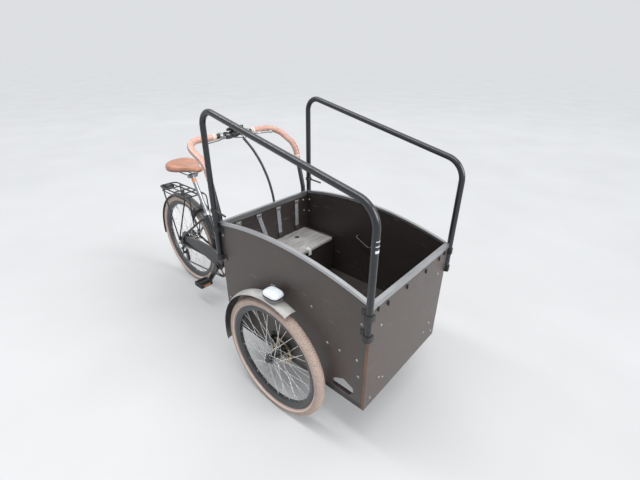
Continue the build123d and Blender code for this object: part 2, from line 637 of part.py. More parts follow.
def rail_clamps():
    """The saddles that hold the right rail's legs to the box side, with the locking lever above."""
    y = -BOX_HALF_WIDTH - RAIL_R - SEAT_GAP
    wall = RAIL_R + CLAMP_WALL
    half = CLAMP_HEIGHT / 2
    clamps = []
    for x, z, inward in CLAMP_ROWS:
        shell = Pos(at_x(x), y, z) * Cylinder(wall, CLAMP_HEIGHT)
        base = block((x - wall, x + wall), (y, -BOX_HALF_WIDTH), (z - half, z + half))
        ear_x = sorted((x, x + inward * CLAMP_EAR))
        ear = block(ear_x, (-BOX_HALF_WIDTH - CLAMP_EAR_T, -BOX_HALF_WIDTH), (z - half, z + half))
        bore = Pos(at_x(x), y, z) * Cylinder(RAIL_R + FIT_GAP, CLAMP_HEIGHT + 2)
        behind = (-BOX_HALF_WIDTH, y + wall + 1)
        panel = block((x - wall - 1, x + wall + 1), behind, (z - half - 1, z + half + 1))
        clamps.append(shell.fuse(base, ear) - bore - panel)
    x = at_x(RAIL_REAR_X)
    collar = Pos(x, y, LOCK_Z) * Cylinder(wall, LOCK_HEIGHT)
    lever = rod((x + RAIL_R, y, LOCK_Z), (x + LOCK_LEVER, y - 3, LOCK_Z - 6), 4.5)
    clamps.append(collar.fuse(lever) - Pos(x, y, LOCK_Z) * Cylinder(RAIL_R + FIT_GAP, CLAMP_HEIGHT))
    return clamps


# Fittings on the panels
STUD_R = 8.0
STUD_HEIGHT = 6.0
STUD_WING = 19.0
# The turn studs for a rain cover, across the front panel: y and z.
STUD_ROWS = ((-266, 750), (-199, 738), (-62, 738), (96, 735), (218, 742), (268, 750))


def turn_studs():
    """Six turn studs under the front panel's trim, each a round base with a wing across it."""
    studs = []
    for y, z in STUD_ROWS:
        half = STUD_WING / 2
        base = Cylinder(STUD_R, STUD_HEIGHT / 2)
        base = Pos(at_x(BOX_FRONT) + STUD_HEIGHT / 4, y, z) * Rot(0, 90, 0) * base
        wing = block((BOX_FRONT + 1, BOX_FRONT + STUD_HEIGHT), (y - 3, y + 3), (z - half, z + half))
        studs.append(base.fuse(wing))
    return studs


HANDLE_X = (-25.0, 62.0)
HANDLE_Z = (668.0, 628.0)
HANDLE_REACH = 24.0
HANDLE_R = 3.5


def side_handle():
    """The wire handle on the inner face of the right side panel."""
    y = -BOX_HALF_WIDTH + PANEL_T
    (x0, x1), (z0, z1) = HANDLE_X, HANDLE_Z
    out = y + HANDLE_REACH
    points = [(at_x(x0), y, z0), (at_x(x0), out, z0), (at_x(x1), out, z1), (at_x(x1), y, z1)]
    return tube(points, [10, 10], HANDLE_R)


BELT_WIDTH = 25.0
BELT_T = 2.0
BELT_TOP_Z = SIDE_TOP_REAR_Z - END_TRIM_DROP - 12.0
BELT_END_Z = BENCH_TOP_Z + 16.0
BELT_Y = (-205.0, -77.0, 59.0, 199.0)
BUCKLE_WIDTH = 34.0
BUCKLE_T = 8.0
BUCKLE_HEIGHT = 30.0


def seat_belts():
    """Four belts that hang on the rear panel's inner face, each with an anchor plate and a buckle."""
    x = BOX_REAR + PANEL_T + SEAT_GAP
    belts = []
    half_belt, half = BELT_WIDTH / 2, BUCKLE_WIDTH / 2
    buckle_z = BELT_END_Z - 8
    for y in BELT_Y:
        strap = block((x + 1, x + 1 + BELT_T), (y - half_belt, y + half_belt), (BELT_END_Z, BELT_TOP_Z))
        anchor = block((x, x + BELT_T + 2), (y - half, y + half), (BELT_TOP_Z - 14, BELT_TOP_Z + 8))
        buckle = block((x, x + BUCKLE_T), (y - half, y + half), (buckle_z, buckle_z + BUCKLE_HEIGHT))
        belts.append(strap.fuse(anchor, fillet(buckle.edges().filter_by(Axis.X), 5)))
    return belts


# Handlebar
BAR_LEG_X = BOX_REAR - 16.0
BAR_CORNER_R = 78.0
BAR_SHOULDER_R = 95.0
BAR_KNEE_R = 160.0
GRIP_START_Z = 1010.0
GRIP_END_Y = 112.0


def bar_points():
    """The corner points of the handlebar hoop, from its right foot to its left foot."""
    right = [
        (BAR_LEG_X, BAR_FOOT_Z), (BAR_LEG_X, BAR_KNEE_Z),
        (BAR_SHOULDER_X, BAR_SHOULDER_Z), (BAR_CROSS_X, BAR_CROSS_Z),
    ]
    points = [(at_x(x), -BAR_HALF_WIDTH, z) for x, z in right]
    return points + [(x, -y, z) for x, y, z in reversed(points)]


def handlebar():
    """The hoop: two legs behind the box, bent back and joined by a crossbar."""
    bends = [BAR_KNEE_R, BAR_SHOULDER_R, BAR_CORNER_R]
    return tube(bar_points(), bends + bends[::-1], BAR_R)


def grip():
    """Right wrapped grip, from the upper leg round both bends to the crossbar."""
    knee, shoulder, corner = bar_points()[1:4]
    share = (GRIP_START_Z - knee[2]) / (shoulder[2] - knee[2])
    start = tuple(k + share * (s - k) for k, s in zip(knee, shoulder))
    end = (corner[0], -GRIP_END_Y, corner[2])
    return tube([start, shoulder, corner, end], [BAR_SHOULDER_R, BAR_CORNER_R], BAR_R + GRIP_T, BAR_R + FIT_GAP)


def bar_clamps():
    """Four clamps that hold the handlebar's legs to the back of the box."""
    clamps = []
    for z in (BAR_FOOT_Z + 18, BAR_KNEE_Z - 70):
        for side in (-1, 1):
            y = side * BAR_HALF_WIDTH
            shell = block((BAR_LEG_X - BAR_R - 6, BOX_REAR), (y - 19, y + 19), (z - 13, z + 13))
            shell = fillet(shell.edges().filter_by(Axis.Z).sort_by(Axis.X)[:2], 9)
            clamps.append(shell - Pos(at_x(BAR_LEG_X), y, z) * Cylinder(BAR_R + FIT_GAP, 40))
    return clamps


LEVER_Y = 84.0
LEVER_REACH_X = 46.0
LEVER_LENGTH = 120.0


def brake_lever():
    """Right brake lever: clamp on the crossbar, body and blade curving ahead of the bar."""
    x, z = at_x(BAR_CROSS_X), BAR_CROSS_Z
    clamp = axle_cylinder(x, z, -LEVER_Y - 8, -LEVER_Y + 8, BAR_R + 5)
    body = Pos(x + 24, -LEVER_Y - 6, z - 2) * Box(30, 24, 14)
    points = [
        (x + 34, -LEVER_Y - 4, z - 2),
        (x + LEVER_REACH_X + 8, -LEVER_Y - 40, z - 4),
        (x + LEVER_REACH_X + 14, -LEVER_Y - LEVER_LENGTH, z - 8),
    ]
    blade = tube(points, [30], 5.5)
    tip = Pos(*points[-1]) * Sphere(8)
    solid = clamp.fuse(body, blade, tip)
    return solid - axle_cylinder(x, z, -LEVER_Y - 20, -LEVER_Y + 20, BAR_R + FIT_GAP)


DISPLAY_TILT = 22.0


def display():
    """Display head on a split bracket at the crossbar's middle, with the shifter beside it."""
    x, z = at_x(BAR_CROSS_X), BAR_CROSS_Z
    clamp = axle_cylinder(x, z, -20, 20, BAR_R + 5)
    neck = Pos(x + 8, 0, z + 18) * Box(26, 26, 18)
    head = Pos(x + 14, 0, z + 32) * Rot(0, DISPLAY_TILT, 0) * Box(52, 78, 14)
    head = fillet(head.edges().filter_by(Axis.Y), 4)
    shift_clamp = axle_cylinder(x, z, -58, -40, BAR_R + 4)
    shift_body = Pos(x + 20, -50, z - 4) * Rot(0, 0, 20) * Box(36, 26, 20)
    bore = axle_cylinder(x, z, -70, 70, BAR_R + FIT_GAP)
    return clamp.fuse(neck, head) - bore, shift_clamp.fuse(shift_body) - bore


# Cables
SLEEVE_R = 6.5


def cord_radii(points):
    """Arc radii for a route: 0.45 of the shorter run over the tangent of half the turn."""
    radii = []
    for a, b, c in zip(points, points[1:], points[2:]):
        u = Vector(*b) - Vector(*a)
        v = Vector(*c) - Vector(*b)
        radii.append(0.45 * min(u.length, v.length) / half_tangent(u.get_angle(v)))
    return radii


def half_tangent(angle):
    """Tangent of half an angle in degrees."""
    return tan(radians(angle / 2))


SLEEVE_ROUTE = (
    (-604, 30, 1140),
    (-556, 40, 1098),
    (-505, 52, 1030),
    (-462, 60, 945),
    (-436, 63, 862),
    (-421, 64, 770),
    (-421, 64, 680),
)


def sleeve():
    """The cable sleeve from below the crossbar down the back of the box."""
    points = [(at_x(x), y, z) for x, y, z in SLEEVE_ROUTE]
    radii = cord_radii(points)
    solid = tube(points, radii, SLEEVE_R)
    print("sleeve radii", [round(r) for r in radii])
    return solid


CABLE_END_R = 2.2
# Each cable's route from its lever or the display to the sleeve's upper end, x from the front axle.
CABLE_ROUTES = (
    ((-609, -75.4, 1160), (-583, -46, 1159), (-586, 2, 1152), (-599, 25.5, 1144)),
    ((-609, 75.4, 1160), (-585, 60, 1156), (-590, 44, 1150), (-600.5, 36, 1144)),
    ((-612, 8, 1175), (-598, 14, 1162), (-602, 29.5, 1146)),
)


def control_cables():
    """The cables from both levers and the display to the sleeve's upper end."""
    cables = []
    for route in CABLE_ROUTES:
        points = [(at_x(x), y, z) for x, y, z in route]
        radii = cord_radii(points)
        cables.append(tube(points, radii, CABLE_END_R))
        print("cable radii", [round(r) for r in radii])
    return cables


def sleeve_clip():
    """The gland on the back panel that takes the lower end of the sleeve."""
    x, y, z = SLEEVE_ROUTE[-1]
    shell = block((x - 12, BOX_REAR), (y - 15, y + 15), (z - 30, z))
    return shell


# Rear frame
MAIN_R = 27.0
MAIN_LEVEL_X = -455.0
MAIN_Z = 290.0
MAIN_JOIN_Z = 474.0
MAIN_BEND_R = 220.0
LOWER_R = 17.0
STAY_BEND_R = 200.0
SEAT_STAY_TOP_R = 30.0
SEAT_STAY_BEND_R = 120.0
SEAT_TUBE_R = 17.5
SEAT_POST_R = 13.5
POST_DEPTH = 85.0
SHELL_R = 22.0
SHELL_HALF = 35.0
SPINDLE_R = 8.5
STAY_R = 8.5
SEAT_STAY_R = 7.0


def seat_line(z):
    """x place of the seat tube's axis at a height."""
    share = (z - CRANK_Z) / (SEAT_TUBE_TOP_Z - CRANK_Z)
    return CRANK_X + share * (SEAT_TUBE_TOP_X - CRANK_X)


def stay_line(side):
    """Corner points of one seat stay below its joint: knee, bend beside the hub, dropout."""
    z_top = SEAT_TUBE_TOP_Z - 32
    y_end = side * (DROPOUT_Y + 2)
    knee = (at_x(seat_line(z_top)) - 22, side * 44, z_top - 14)
    low = (REAR_X + 54, y_end, REAR_TYRE_R + 72)
    return knee, low, (REAR_X + 8, y_end, REAR_TYRE_R + 20)


def chain_stay_line(side):
    """Corner points of one chain stay: crank shell, bend ahead of the tyre, dropout."""
    start = (at_x(CRANK_X) - 6, side * 24, CRANK_Z)
    bend = (REAR_X + REAR_TYRE_R - 4, side * 38, CRANK_Z + 12)
    return start, bend, (REAR_X + 24, side * (DROPOUT_Y + 3), REAR_TYRE_R - 2)


def stay_top(x):
    """Height of the chain stay's upper side at a place along x, behind its bend."""
    _, (x0, _, z0), (x1, _, z1) = chain_stay_line(-1)
    return z0 + (at_x(x) - x0) / (x1 - x0) * (z1 - z0) + STAY_R


def dropout(side):
    """The plate that holds the rear axle on one side."""
    y0, y1 = sorted((side * DROPOUT_Y, side * (DROPOUT_Y + DROPOUT_T)))
    plate = block((-WHEELBASE - 18, -WHEELBASE + 26), (y0, y1), (REAR_TYRE_R - 20, REAR_TYRE_R + 44))
    plate = fillet(plate.edges().filter_by(Axis.Y), 10)
    if side > 0:
        return plate
    # On the right the plate reaches down as the derailleur's hanger.
    hanger = Pos(HANGER_X, HANGER_Z) * Circle(9)
    root = Pos(REAR_X + 6, REAR_TYRE_R - 4) * Circle(14)
    face = make_hull([*hanger.edges(), *root.edges()])
    plane = Plane(origin=(0, y1, 0), x_dir=(1, 0, 0), z_dir=(0, -1, 0))
    return plate.fuse(extrude(plane * face, DROPOUT_T))


def rear_frame():
    """Head tube, main and lower tubes, seat tube, crank shell, stays and dropouts."""
    pivot = at_x(PIVOT_X)
    head = rod((pivot, 0, HEAD_Z0), (pivot, 0, HEAD_Z1), HEAD_TUBE_R)
    main = tube(*main_tube(), MAIN_R)
    crank = (at_x(CRANK_X), 0, CRANK_Z)
    lower = rod(crank, (at_x(MAIN_LEVEL_X - 30), 0, MAIN_Z + 4), LOWER_R)
    seat = rod(crank, (at_x(SEAT_TUBE_TOP_X), 0, SEAT_TUBE_TOP_Z), SEAT_TUBE_R)
    shell = axle_cylinder(crank[0], CRANK_Z, -SHELL_HALF, SHELL_HALF, SHELL_R)
    parts = [main, lower, seat, shell]
    for side in (-1, 1):
        parts.append(tube(chain_stay_line(side), [STAY_BEND_R], STAY_R))
        z_top = SEAT_TUBE_TOP_Z - 32
        top = (at_x(seat_line(z_top)), side * 12, z_top)
        parts.append(tube([top, *stay_line(side)], [SEAT_STAY_TOP_R, SEAT_STAY_BEND_R], SEAT_STAY_R))
        parts.append(dropout(side))
    frame = head.fuse(*parts)
    through = 2 * HALF_TRACK
    frame -= Pos(pivot, 0, AXLE_Z) * Cylinder(KINGPIN_R + RUNNING_GAP, through)
    frame -= axle_cylinder(crank[0], CRANK_Z, -through, through, SPINDLE_R + RUNNING_GAP)
    frame -= axle_cylinder(REAR_X, REAR_TYRE_R, -through, through, REAR_AXLE_R + RUNNING_GAP)
    tilt = seat_tilt()
    bore_top = Plane(origin=(at_x(SEAT_TUBE_TOP_X), 0, SEAT_TUBE_TOP_Z), z_dir=tilt)
    frame -= extrude(bore_top * Circle(SEAT_POST_R + RUNNING_GAP), -POST_DEPTH - 5)
    return frame


def seat_tilt():
    """Direction of the seat tube, from the crank up."""
    return Vector(SEAT_TUBE_TOP_X - CRANK_X, 0, SEAT_TUBE_TOP_Z - CRANK_Z).normalized()


BATTERY_X = (CRANK_X + 2.0, CRANK_X + 80.0)
BATTERY_HALF_WIDTH = 40.0
BATTERY_TOP_Z = CRANK_Z + 290.0
LOCK_ANGLE = 55.0
LOCK_T = 24.0
LOCK_HALF_WIDTH = 54.0
LOCK_ARM = 21.0
LOCK_REACH = 32.0


def main_tube():
    """The main tube, from the head tube level under the box and up to the seat tube."""
    pivot = at_x(PIVOT_X)
    join_x = at_x(seat_line(MAIN_JOIN_Z))
    points = [(pivot - 8, 0, MAIN_Z), (at_x(MAIN_LEVEL_X), 0, MAIN_Z), (join_x, 0, MAIN_JOIN_Z)]
    return points, [MAIN_BEND_R]


def battery_case():
    """The battery's case, saddled on the main tube ahead of the seat tube."""
    low = MAIN_JOIN_Z - 100
    case = block(BATTERY_X, (-BATTERY_HALF_WIDTH, BATTERY_HALF_WIDTH), (low, BATTERY_TOP_Z))
    case = fillet(case.edges().filter_by(Axis.Z), 18)
    case = fillet(case.edges().sort_by(Axis.Z)[-8:], 8)
    points, bends = main_tube()
    (_, _, z0), (_, _, z1) = points[1:]
    slope = (z1 - z0) / (points[2][0] - points[1][0])
    under = Plane(origin=(points[2][0], 0, z1 - 6), x_dir=(1, 0, slope), z_dir=(-slope, 0, 1))
    case = split(case, bisect_by=under, keep=Keep.TOP)
    return case - tube(points, bends, MAIN_R + SEAT_GAP)


def ring_lock():
    """The horseshoe lock over the rear mudguard, with struts down to the seat stays."""
    inner = REAR_GUARD_R + 0.6
    low, high = inner - 56, inner + LOCK_REACH
    # Built with z along the wheel's radius, x along its edge.
    body = Pos(0, 0, (low + high) / 2) * Box(LOCK_T, 2 * LOCK_HALF_WIDTH, high - low)
    body = fillet(body.edges().filter_by(Axis.X).sort_by(Axis.Z)[-2:], LOCK_REACH)
    body = fillet(body.edges().filter_by(Axis.X).sort_by(Axis.Z)[:2], 10)
    slot_height = inner - low + 10
    slot = Pos(0, 0, inner - slot_height / 2)
    slot *= Box(LOCK_T + 2, 2 * (LOCK_HALF_WIDTH - LOCK_ARM), slot_height)
    turn = Pos(REAR_X, 0, REAR_TYRE_R) * Rot(0, 90 - LOCK_ANGLE, 0)
    body = turn * (body - slot)
    parts = []
    for side in (-1, 1):
        knee, low_end, _ = stay_line(side)
        sx, sy, sz = [k + 0.22 * (p - k) for k, p in zip(knee, low_end)]
        x, z = polar(low + 8, LOCK_ANGLE, REAR_X, REAR_TYRE_R)
        y = side * (LOCK_HALF_WIDTH - LOCK_ARM / 2)
        direction = Vector(sx - x, sy - y, sz - z).normalized()
        end = Vector(sx, sy, sz) - direction * (SEAT_STAY_R + 1.4)
        parts.append(rod((x, y, z), tuple(end), 4))
    return body.fuse(*parts)


AXLE_STUB = 24.0
AXLE_END_R = 5.0
AXLE_END_LENGTH = 12.0


def rear_axle():
    """The rear axle through both dropouts, with a nut each side."""
    y_nut = DROPOUT_Y + DROPOUT_T
    y_end = y_nut + AXLE_STUB
    y_step = y_end - AXLE_END_LENGTH
    pin = axle_cylinder(REAR_X, REAR_TYRE_R, -y_step, y_step, REAR_AXLE_R)
    pin = pin.fuse(axle_cylinder(REAR_X, REAR_TYRE_R, -y_end, y_end, AXLE_END_R))
    nuts = []
    for side in (-1, 1):
        nut = extrude(RegularPolygon(11, 6), 5, both=True)
        nuts.append(Pos(REAR_X, side * (y_nut + SEAT_GAP + 5), REAR_TYRE_R) * Rot(90, 0, 0) * nut)
    # Spacers stop the hub from sliding along the axle.
    spacer_r = axle_cylinder(REAR_X, REAR_TYRE_R, -DROPOUT_Y + SEAT_GAP, HUB_END_Y - SEAT_GAP, 10)
    spacer_l = axle_cylinder(REAR_X, REAR_TYRE_R, 60 + SEAT_GAP, DROPOUT_Y - SEAT_GAP, 10)
    return pin.fuse(*nuts, spacer_r, spacer_l)


POST_HEAD_Z = 834.0
POST_HEAD_R = 13.0
POST_HEAD_HALF = 30.0
SADDLE_RAIL_R = 3.5
SADDLE_RAIL_Y = 21.0


def seat_post():
    """Seat post in the seat tube, with the clamp head and the two saddle rails that it holds."""
    tilt = seat_tilt()
    top = Vector(at_x(seat_line(POST_HEAD_Z)), 0, POST_HEAD_Z)
    foot = Vector(at_x(SEAT_TUBE_TOP_X), 0, SEAT_TUBE_TOP_Z) - tilt * POST_DEPTH
    post = rod(tuple(foot), tuple(top), SEAT_POST_R)
    head = axle_cylinder(top.X, top.Z + 4, -POST_HEAD_HALF, POST_HEAD_HALF, POST_HEAD_R)
    z = top.Z + 6
    x = at_x(SADDLE_X)
    points = [(x - 112, 870), (x - 84, z), (x + 52, z), (x + 116, 900)]
    rails = []
    for side in (-1, 1):
        run = [(px, side * SADDLE_RAIL_Y * (0.5 if px > x + 60 else 1), pz) for px, pz in points]
        rails.append(tube(run, [14, 22], SADDLE_RAIL_R) - Pos(0, 0, -0.5) * saddle())
    return post.fuse(head, *rails)


def seat_collar():
    """The clamp collar round the top of the seat tube."""
    tilt = seat_tilt()
    plane = Plane(origin=(at_x(SEAT_TUBE_TOP_X), 0, SEAT_TUBE_TOP_Z), z_dir=tilt)
    ring = extrude(plane * (Circle(SEAT_TUBE_R + 5) - Circle(SEAT_TUBE_R + FIT_GAP)), -18)
    return ring


SADDLE_SECTIONS = (
    # x from the saddle's middle, half width, underside z, top z
    (-136, 66, 852, 916),
    (-94, 104, 846, 922),
    (-18, 92, 856, 914),
    (66, 40, 870, 911),
    (136, 19, 880, 905),
)


def saddle():
    """The saddle: a loft through a few rounded sections from tail to nose."""
    faces = []
    for dx, half, low, high in SADDLE_SECTIONS:
        plane = Plane(origin=(at_x(SADDLE_X + dx), 0, (low + high) / 2), x_dir=(0, 1, 0), z_dir=(1, 0, 0))
        radius = min(half, (high - low) / 2) * 0.9
        faces.append(plane * RectangleRounded(2 * half, high - low, radius))
    return loft(Sketch() + faces)


# Rack, rear mudguard, tail lamp
ROD_R = 5.0
RACK_ROD_R = 4.5
RACK_RAIL_DROP = 24.0


def rack():
    """The carrier over the rear wheel: deck rods, hoops and four legs to the dropouts."""
    y = RACK_HALF_WIDTH
    x0, x1 = at_x(RACK_REAR_X), at_x(RACK_FRONT_X)
    loop = [(x1, -y, RACK_Z), (x0, -y, RACK_Z), (x0, y, RACK_Z), (x1, y, RACK_Z)]
    deck = tube(loop, [32, 32], ROD_R)
    parts = []
    for x in (x1, REAR_X + 70, REAR_X, REAR_X - 90):
        parts.append(rod((x, -y, RACK_Z), (x, y, RACK_Z), RACK_ROD_R))
    for yy in (-22, 22):
        parts.append(rod((x0, yy, RACK_Z), (x1, yy, RACK_Z), ROD_R - 1))
    for side in (-1, 1):
        y_plate = DROPOUT_Y + DROPOUT_T + SEAT_GAP
        foot = (REAR_X - 8, side * (y_plate + RACK_ROD_R + 2), REAR_TYRE_R + 22)
        parts.append(axle_cylinder(foot[0], foot[2], side * y_plate, side * (y_plate + 11), 6.5))
        z_rail = RACK_Z - RACK_RAIL_DROP
        parts.append(rod((x0 + 40, side * y, z_rail), (x1 - 24, side * y, z_rail), ROD_R - 1))
        for x in (x0 + 60, x1 - 40):
            parts.append(tube([(x, side * y, RACK_Z), (x, side * y, RACK_Z - 40), foot], [24], ROD_R - 0.5))
        knee, low, _ = stay_line(side)
        near = [k + 0.3 * (p - k) for k, p in zip(knee, low)]
        near[1] += side * (SEAT_STAY_R + ROD_R + SEAT_GAP + 0.6)
        strut = [(x1 - 4, side * y, RACK_Z), (x1 + 30, side * y, RACK_Z - 6), tuple(near)]
        parts.append(tube(strut, [24], ROD_R - 1))
    return deck.fuse(*parts)


TAIL_LAMP_HALF_WIDTH = 42.0
TAIL_LAMP_HEIGHT = 30.0
TAIL_LAMP_T = 16.0


def tail_lamp():
    """The tail lamp's housing, hung under the rack's rear end on two lugs."""
    x = RACK_REAR_X
    top = RACK_Z - ROD_R - SEAT_GAP
    y = TAIL_LAMP_HALF_WIDTH
    body = block((x - TAIL_LAMP_T / 2, x + TAIL_LAMP_T / 2), (-y, y), (top - 3 - TAIL_LAMP_HEIGHT, top - 3))
    body = fillet(body.edges().filter_by(Axis.X), 8)
    lugs = [block((x - 4, x + 4), (yy - 6, yy + 6), (top - 6, top)) for yy in (-26, 26)]
    return body.fuse(*lugs)


def rear_guard():
    """Rear mudguard, from behind the seat tube over the wheel to the back."""
    guard = guard_ring(REAR_GUARD_R, REAR_GUARD_WIDTH, 6, 188, REAR_X, 0, REAR_TYRE_R)
    # A boss meets the seat tube where it passes closest to the wheel.
    tilt = seat_tilt()
    angle = degrees(atan2(-tilt.X, tilt.Z))
    to_tube = (CRANK_X + WHEELBASE) * tilt.Z - (CRANK_Z - REAR_TYRE_R) * tilt.X
    a = polar(REAR_GUARD_R - 2, angle, REAR_X, REAR_TYRE_R)
    b = polar(to_tube - SEAT_TUBE_R - SEAT_GAP, angle, REAR_X, REAR_TYRE_R)
    boss = rod((a[0], 0, a[1]), (b[0], 0, b[1]), 8)
    top = REAR_TYRE_R + REAR_GUARD_R
    tab = block((-WHEELBASE - 9, -WHEELBASE + 9), (-9, 9), (top - 2, RACK_Z - RACK_ROD_R - SEAT_GAP))
    return guard.fuse(boss, tab)


# Cranks and chain
ARM_Y = 76.0
ARM_T = 13.0
RING_BAND = 15.0
SPIDER_R = 29.0
SPIDER_ARMS = 5
SPIDER_ARM_WIDTH = 14.0
PEDAL_Y = 130.0
PEDAL_LENGTH = 92.0
PEDAL_WIDTH = 84.0
PEDAL_T = 22.0
PEDAL_PIN_R = 6.0


def crank_set():
    """Spindle and both crank arms with their pedal pins."""
    x, z = at_x(CRANK_X), CRANK_Z
    spindle = axle_cylinder(x, z, -ARM_Y - 6, ARM_Y + 6, SPINDLE_R)
    parts = []
    for side, angle in ((-1, CRANK_ANGLE), (1, CRANK_ANGLE + 180)):
        ex, ez = polar(CRANK_LENGTH, angle, x, z)
        y = side * ARM_Y
        arm_face = make_hull([*Circle(17).edges(), *(Pos(CRANK_LENGTH, 0) * Circle(13)).edges()])
        arm = extrude(arm_face, ARM_T / 2, both=True)
        parts.append(Pos(x, y, z) * Rot(0, -angle, 0) * Rot(90, 0, 0) * arm)
        parts.append(axle_cylinder(ex, ez, y, side * (PEDAL_Y + PEDAL_LENGTH / 2 - 6), PEDAL_PIN_R))
    return spindle.fuse(*parts)


def chainring():
    """The chainring with five arms, on the right crank arm's inner face."""
    radius = pitch_radius(CHAINRING_TEETH)
    disc = toothed_disc(CHAINRING_TEETH, SPROCKET_T)
    window = Circle(radius - RING_BAND) - Circle(SPIDER_R)
    spider = Circle(SPIDER_ARM_WIDTH / 2)
    for i in range(SPIDER_ARMS):
        spider += Rot(0, 0, i * 360 / SPIDER_ARMS) * Pos(0, radius / 2) * Rectangle(SPIDER_ARM_WIDTH, radius)
    disc -= extrude(window - spider, SPROCKET_T, both=True)
    carrier = Cylinder(SPIDER_R - 3, SPROCKET_T)
    boss_len = ARM_Y - ARM_T / 2 + CHAINLINE_Y - SPROCKET_T / 2
    boss = Pos(0, 0, SPROCKET_T / 2 + boss_len / 2) * Cylinder(20, boss_len)
    solid = disc.fuse(carrier, boss) - Cylinder(SPINDLE_R + FIT_GAP, 2 * ARM_Y)
    return Pos(at_x(CRANK_X), CHAINLINE_Y, CRANK_Z) * Rot(90, 0, 0) * solid


def pedal(side, angle):
    """A platform pedal on its pin, with two side plates and a middle barrel."""
    x, z = polar(CRANK_LENGTH, angle, at_x(CRANK_X), CRANK_Z)
    body = Box(PEDAL_WIDTH, PEDAL_LENGTH, PEDAL_T)
    body = fillet(body.edges().filter_by(Axis.Z), 10)
    for dx in (-1, 1):
        body -= Pos(dx * PEDAL_WIDTH * 0.26, 0, 0) * Box(PEDAL_WIDTH * 0.26, PEDAL_LENGTH - 26, PEDAL_T + 2)
    body = Pos(x, side * PEDAL_Y, z) * body
    return body - axle_cylinder(x, z, side * (PEDAL_Y - 60), side * (PEDAL_Y + 60), PEDAL_PIN_R + RUNNING_GAP)


# Chain and rear derailleur. Places are (x, z) in the part's frame.
GUIDE_TEETH = 11
GUIDE_X = REAR_X + 15.0
GUIDE_Z = REAR_TYRE_R - 78.0
CAGE_LENGTH = 56.0
PLATE_T = 2.0
INNER_PLATE_Y = 1.2
PLATE_HALF_HEIGHT = 4.2
PLATE_WAIST = 3.0


def drive_wheels(cage_angle):
    """The wheels that the chain runs round, as (x, z, radius, turn), turn -1 where it turns back."""
    swing = radians(cage_angle)
    tension = (GUIDE_X + CAGE_LENGTH * sin(swing), GUIDE_Z - CAGE_LENGTH * cos(swing))
    pulley_r = pitch_radius(GUIDE_TEETH)
    return (
        (at_x(CRANK_X), CRANK_Z, pitch_radius(CHAINRING_TEETH), 1),
        (REAR_X, REAR_TYRE_R, pitch_radius(SPROCKET_TEETH), 1),
        (GUIDE_X, GUIDE_Z, pulley_r, -1),
        (*tension, pulley_r, 1),
    )


def tangent_angle(a, b):
    """Direction of the chain's straight run from wheel a to wheel b."""
    dx, dz = b[0] - a[0], b[1] - a[1]
    return atan2(dz, dx) + asin((a[3] * a[2] - b[3] * b[2]) / sqrt(dx * dx + dz * dz))


def chain_runs(cage_angle):
    """Each wheel with its share of the closed chain line: an arc round it and the straight run after it.

    A row is (x, z, radius, turn, start angle, sweep, run length, run angle).
    """
    wheels = drive_wheels(cage_angle)
    count = len(wheels)
    leave = [tangent_angle(wheels[i], wheels[(i + 1) % count]) for i in range(count)]
    runs = []
    for i, (x, z, radius, turn) in enumerate(wheels):
        start = leave[i - 1] - turn * pi / 2
        sweep = turn * ((turn * (leave[i] - leave[i - 1])) % (2 * pi))
        ahead = wheels[(i + 1) % count]
        gap = turn * radius - ahead[3] * ahead[2]
        reach = sqrt((ahead[0] - x) ** 2 + (ahead[1] - z) ** 2 - gap**2)
        runs.append((x, z, radius, turn, start, sweep, reach, leave[i]))
    return runs


def chain_length(cage_angle):
    """Length of the chain's line for a cage angle."""
    return sum(radius * abs(sweep) + reach for _, _, radius, _, _, sweep, reach, _ in chain_runs(cage_angle))


def settled_cage():
    """The cage angle near upright, with its link count, at which the chain has an even number of links."""
    links = 2 * round(chain_length(10) / CHAIN_PITCH / 2)
    low, high = -50.0, 60.0
    slack = chain_length(high) > chain_length(low)
    for _ in range(40):
        middle = (low + high) / 2
        if (chain_length(middle) > links * CHAIN_PITCH) == slack:
            high = middle
        else:
            low = middle
    return middle, links


CAGE_ANGLE, LINKS = settled_cage()


def chain_point(distance):
    """The chain line's place and direction at a distance along it, as (x, z, angle)."""
    for x, z, radius, turn, start, sweep, reach, leave in chain_runs(CAGE_ANGLE):
        arc = radius * abs(sweep)
        if distance < arc:
            angle = start + turn * distance / radius
            return x + radius * cos(angle), z + radius * sin(angle), angle + turn * pi / 2
        distance -= arc
        if distance < reach:
            end = leave - turn * pi / 2
            px, pz = x + radius * cos(end), z + radius * sin(end)
            return px + distance * cos(leave), pz + distance * sin(leave), leave
        distance -= reach
    return chain_point(0)


def chain_edge(side):
    """Corner points along one edge of the chain's plates: high at each pin, with a waist between two pins."""
    points = []
    for i in range(2 * LINKS):
        x, z, angle = chain_point(i * CHAIN_PITCH / 2)
        h = side * (PLATE_WAIST if i % 2 else PLATE_HALF_HEIGHT)
        points.append((x - h * sin(angle), z + h * cos(angle)))
    return points


def chain():
    """The chain: a run of waisted plates each side, joined by a pin at every second pitch, to stay light."""
    edges = [make_face(Polyline(*chain_edge(side), close=True)) for side in (-1, 1)]
    inner, outer = sorted(edges, key=lambda face: face.area)
    plates = outer - inner
    parts = []
    for y in (CHAINLINE_Y + INNER_PLATE_Y, CHAINLINE_Y - INNER_PLATE_Y - PLATE_T):
        plane = Plane(origin=(0, y + PLATE_T, 0), x_dir=(1, 0, 0), z_dir=(0, -1, 0))
        parts.append(extrude(plane * plates, PLATE_T))
    for i in range(0, LINKS, 2):
        x, z, _ = chain_point(i * CHAIN_PITCH)
        pin = extrude(RegularPolygon(PIN_R, 3), INNER_PLATE_Y, both=True)
        parts.append(Pos(x, CHAINLINE_Y, z) * Rot(90, 0, 0) * pin)
    return parts[0].fuse(*parts[1:])


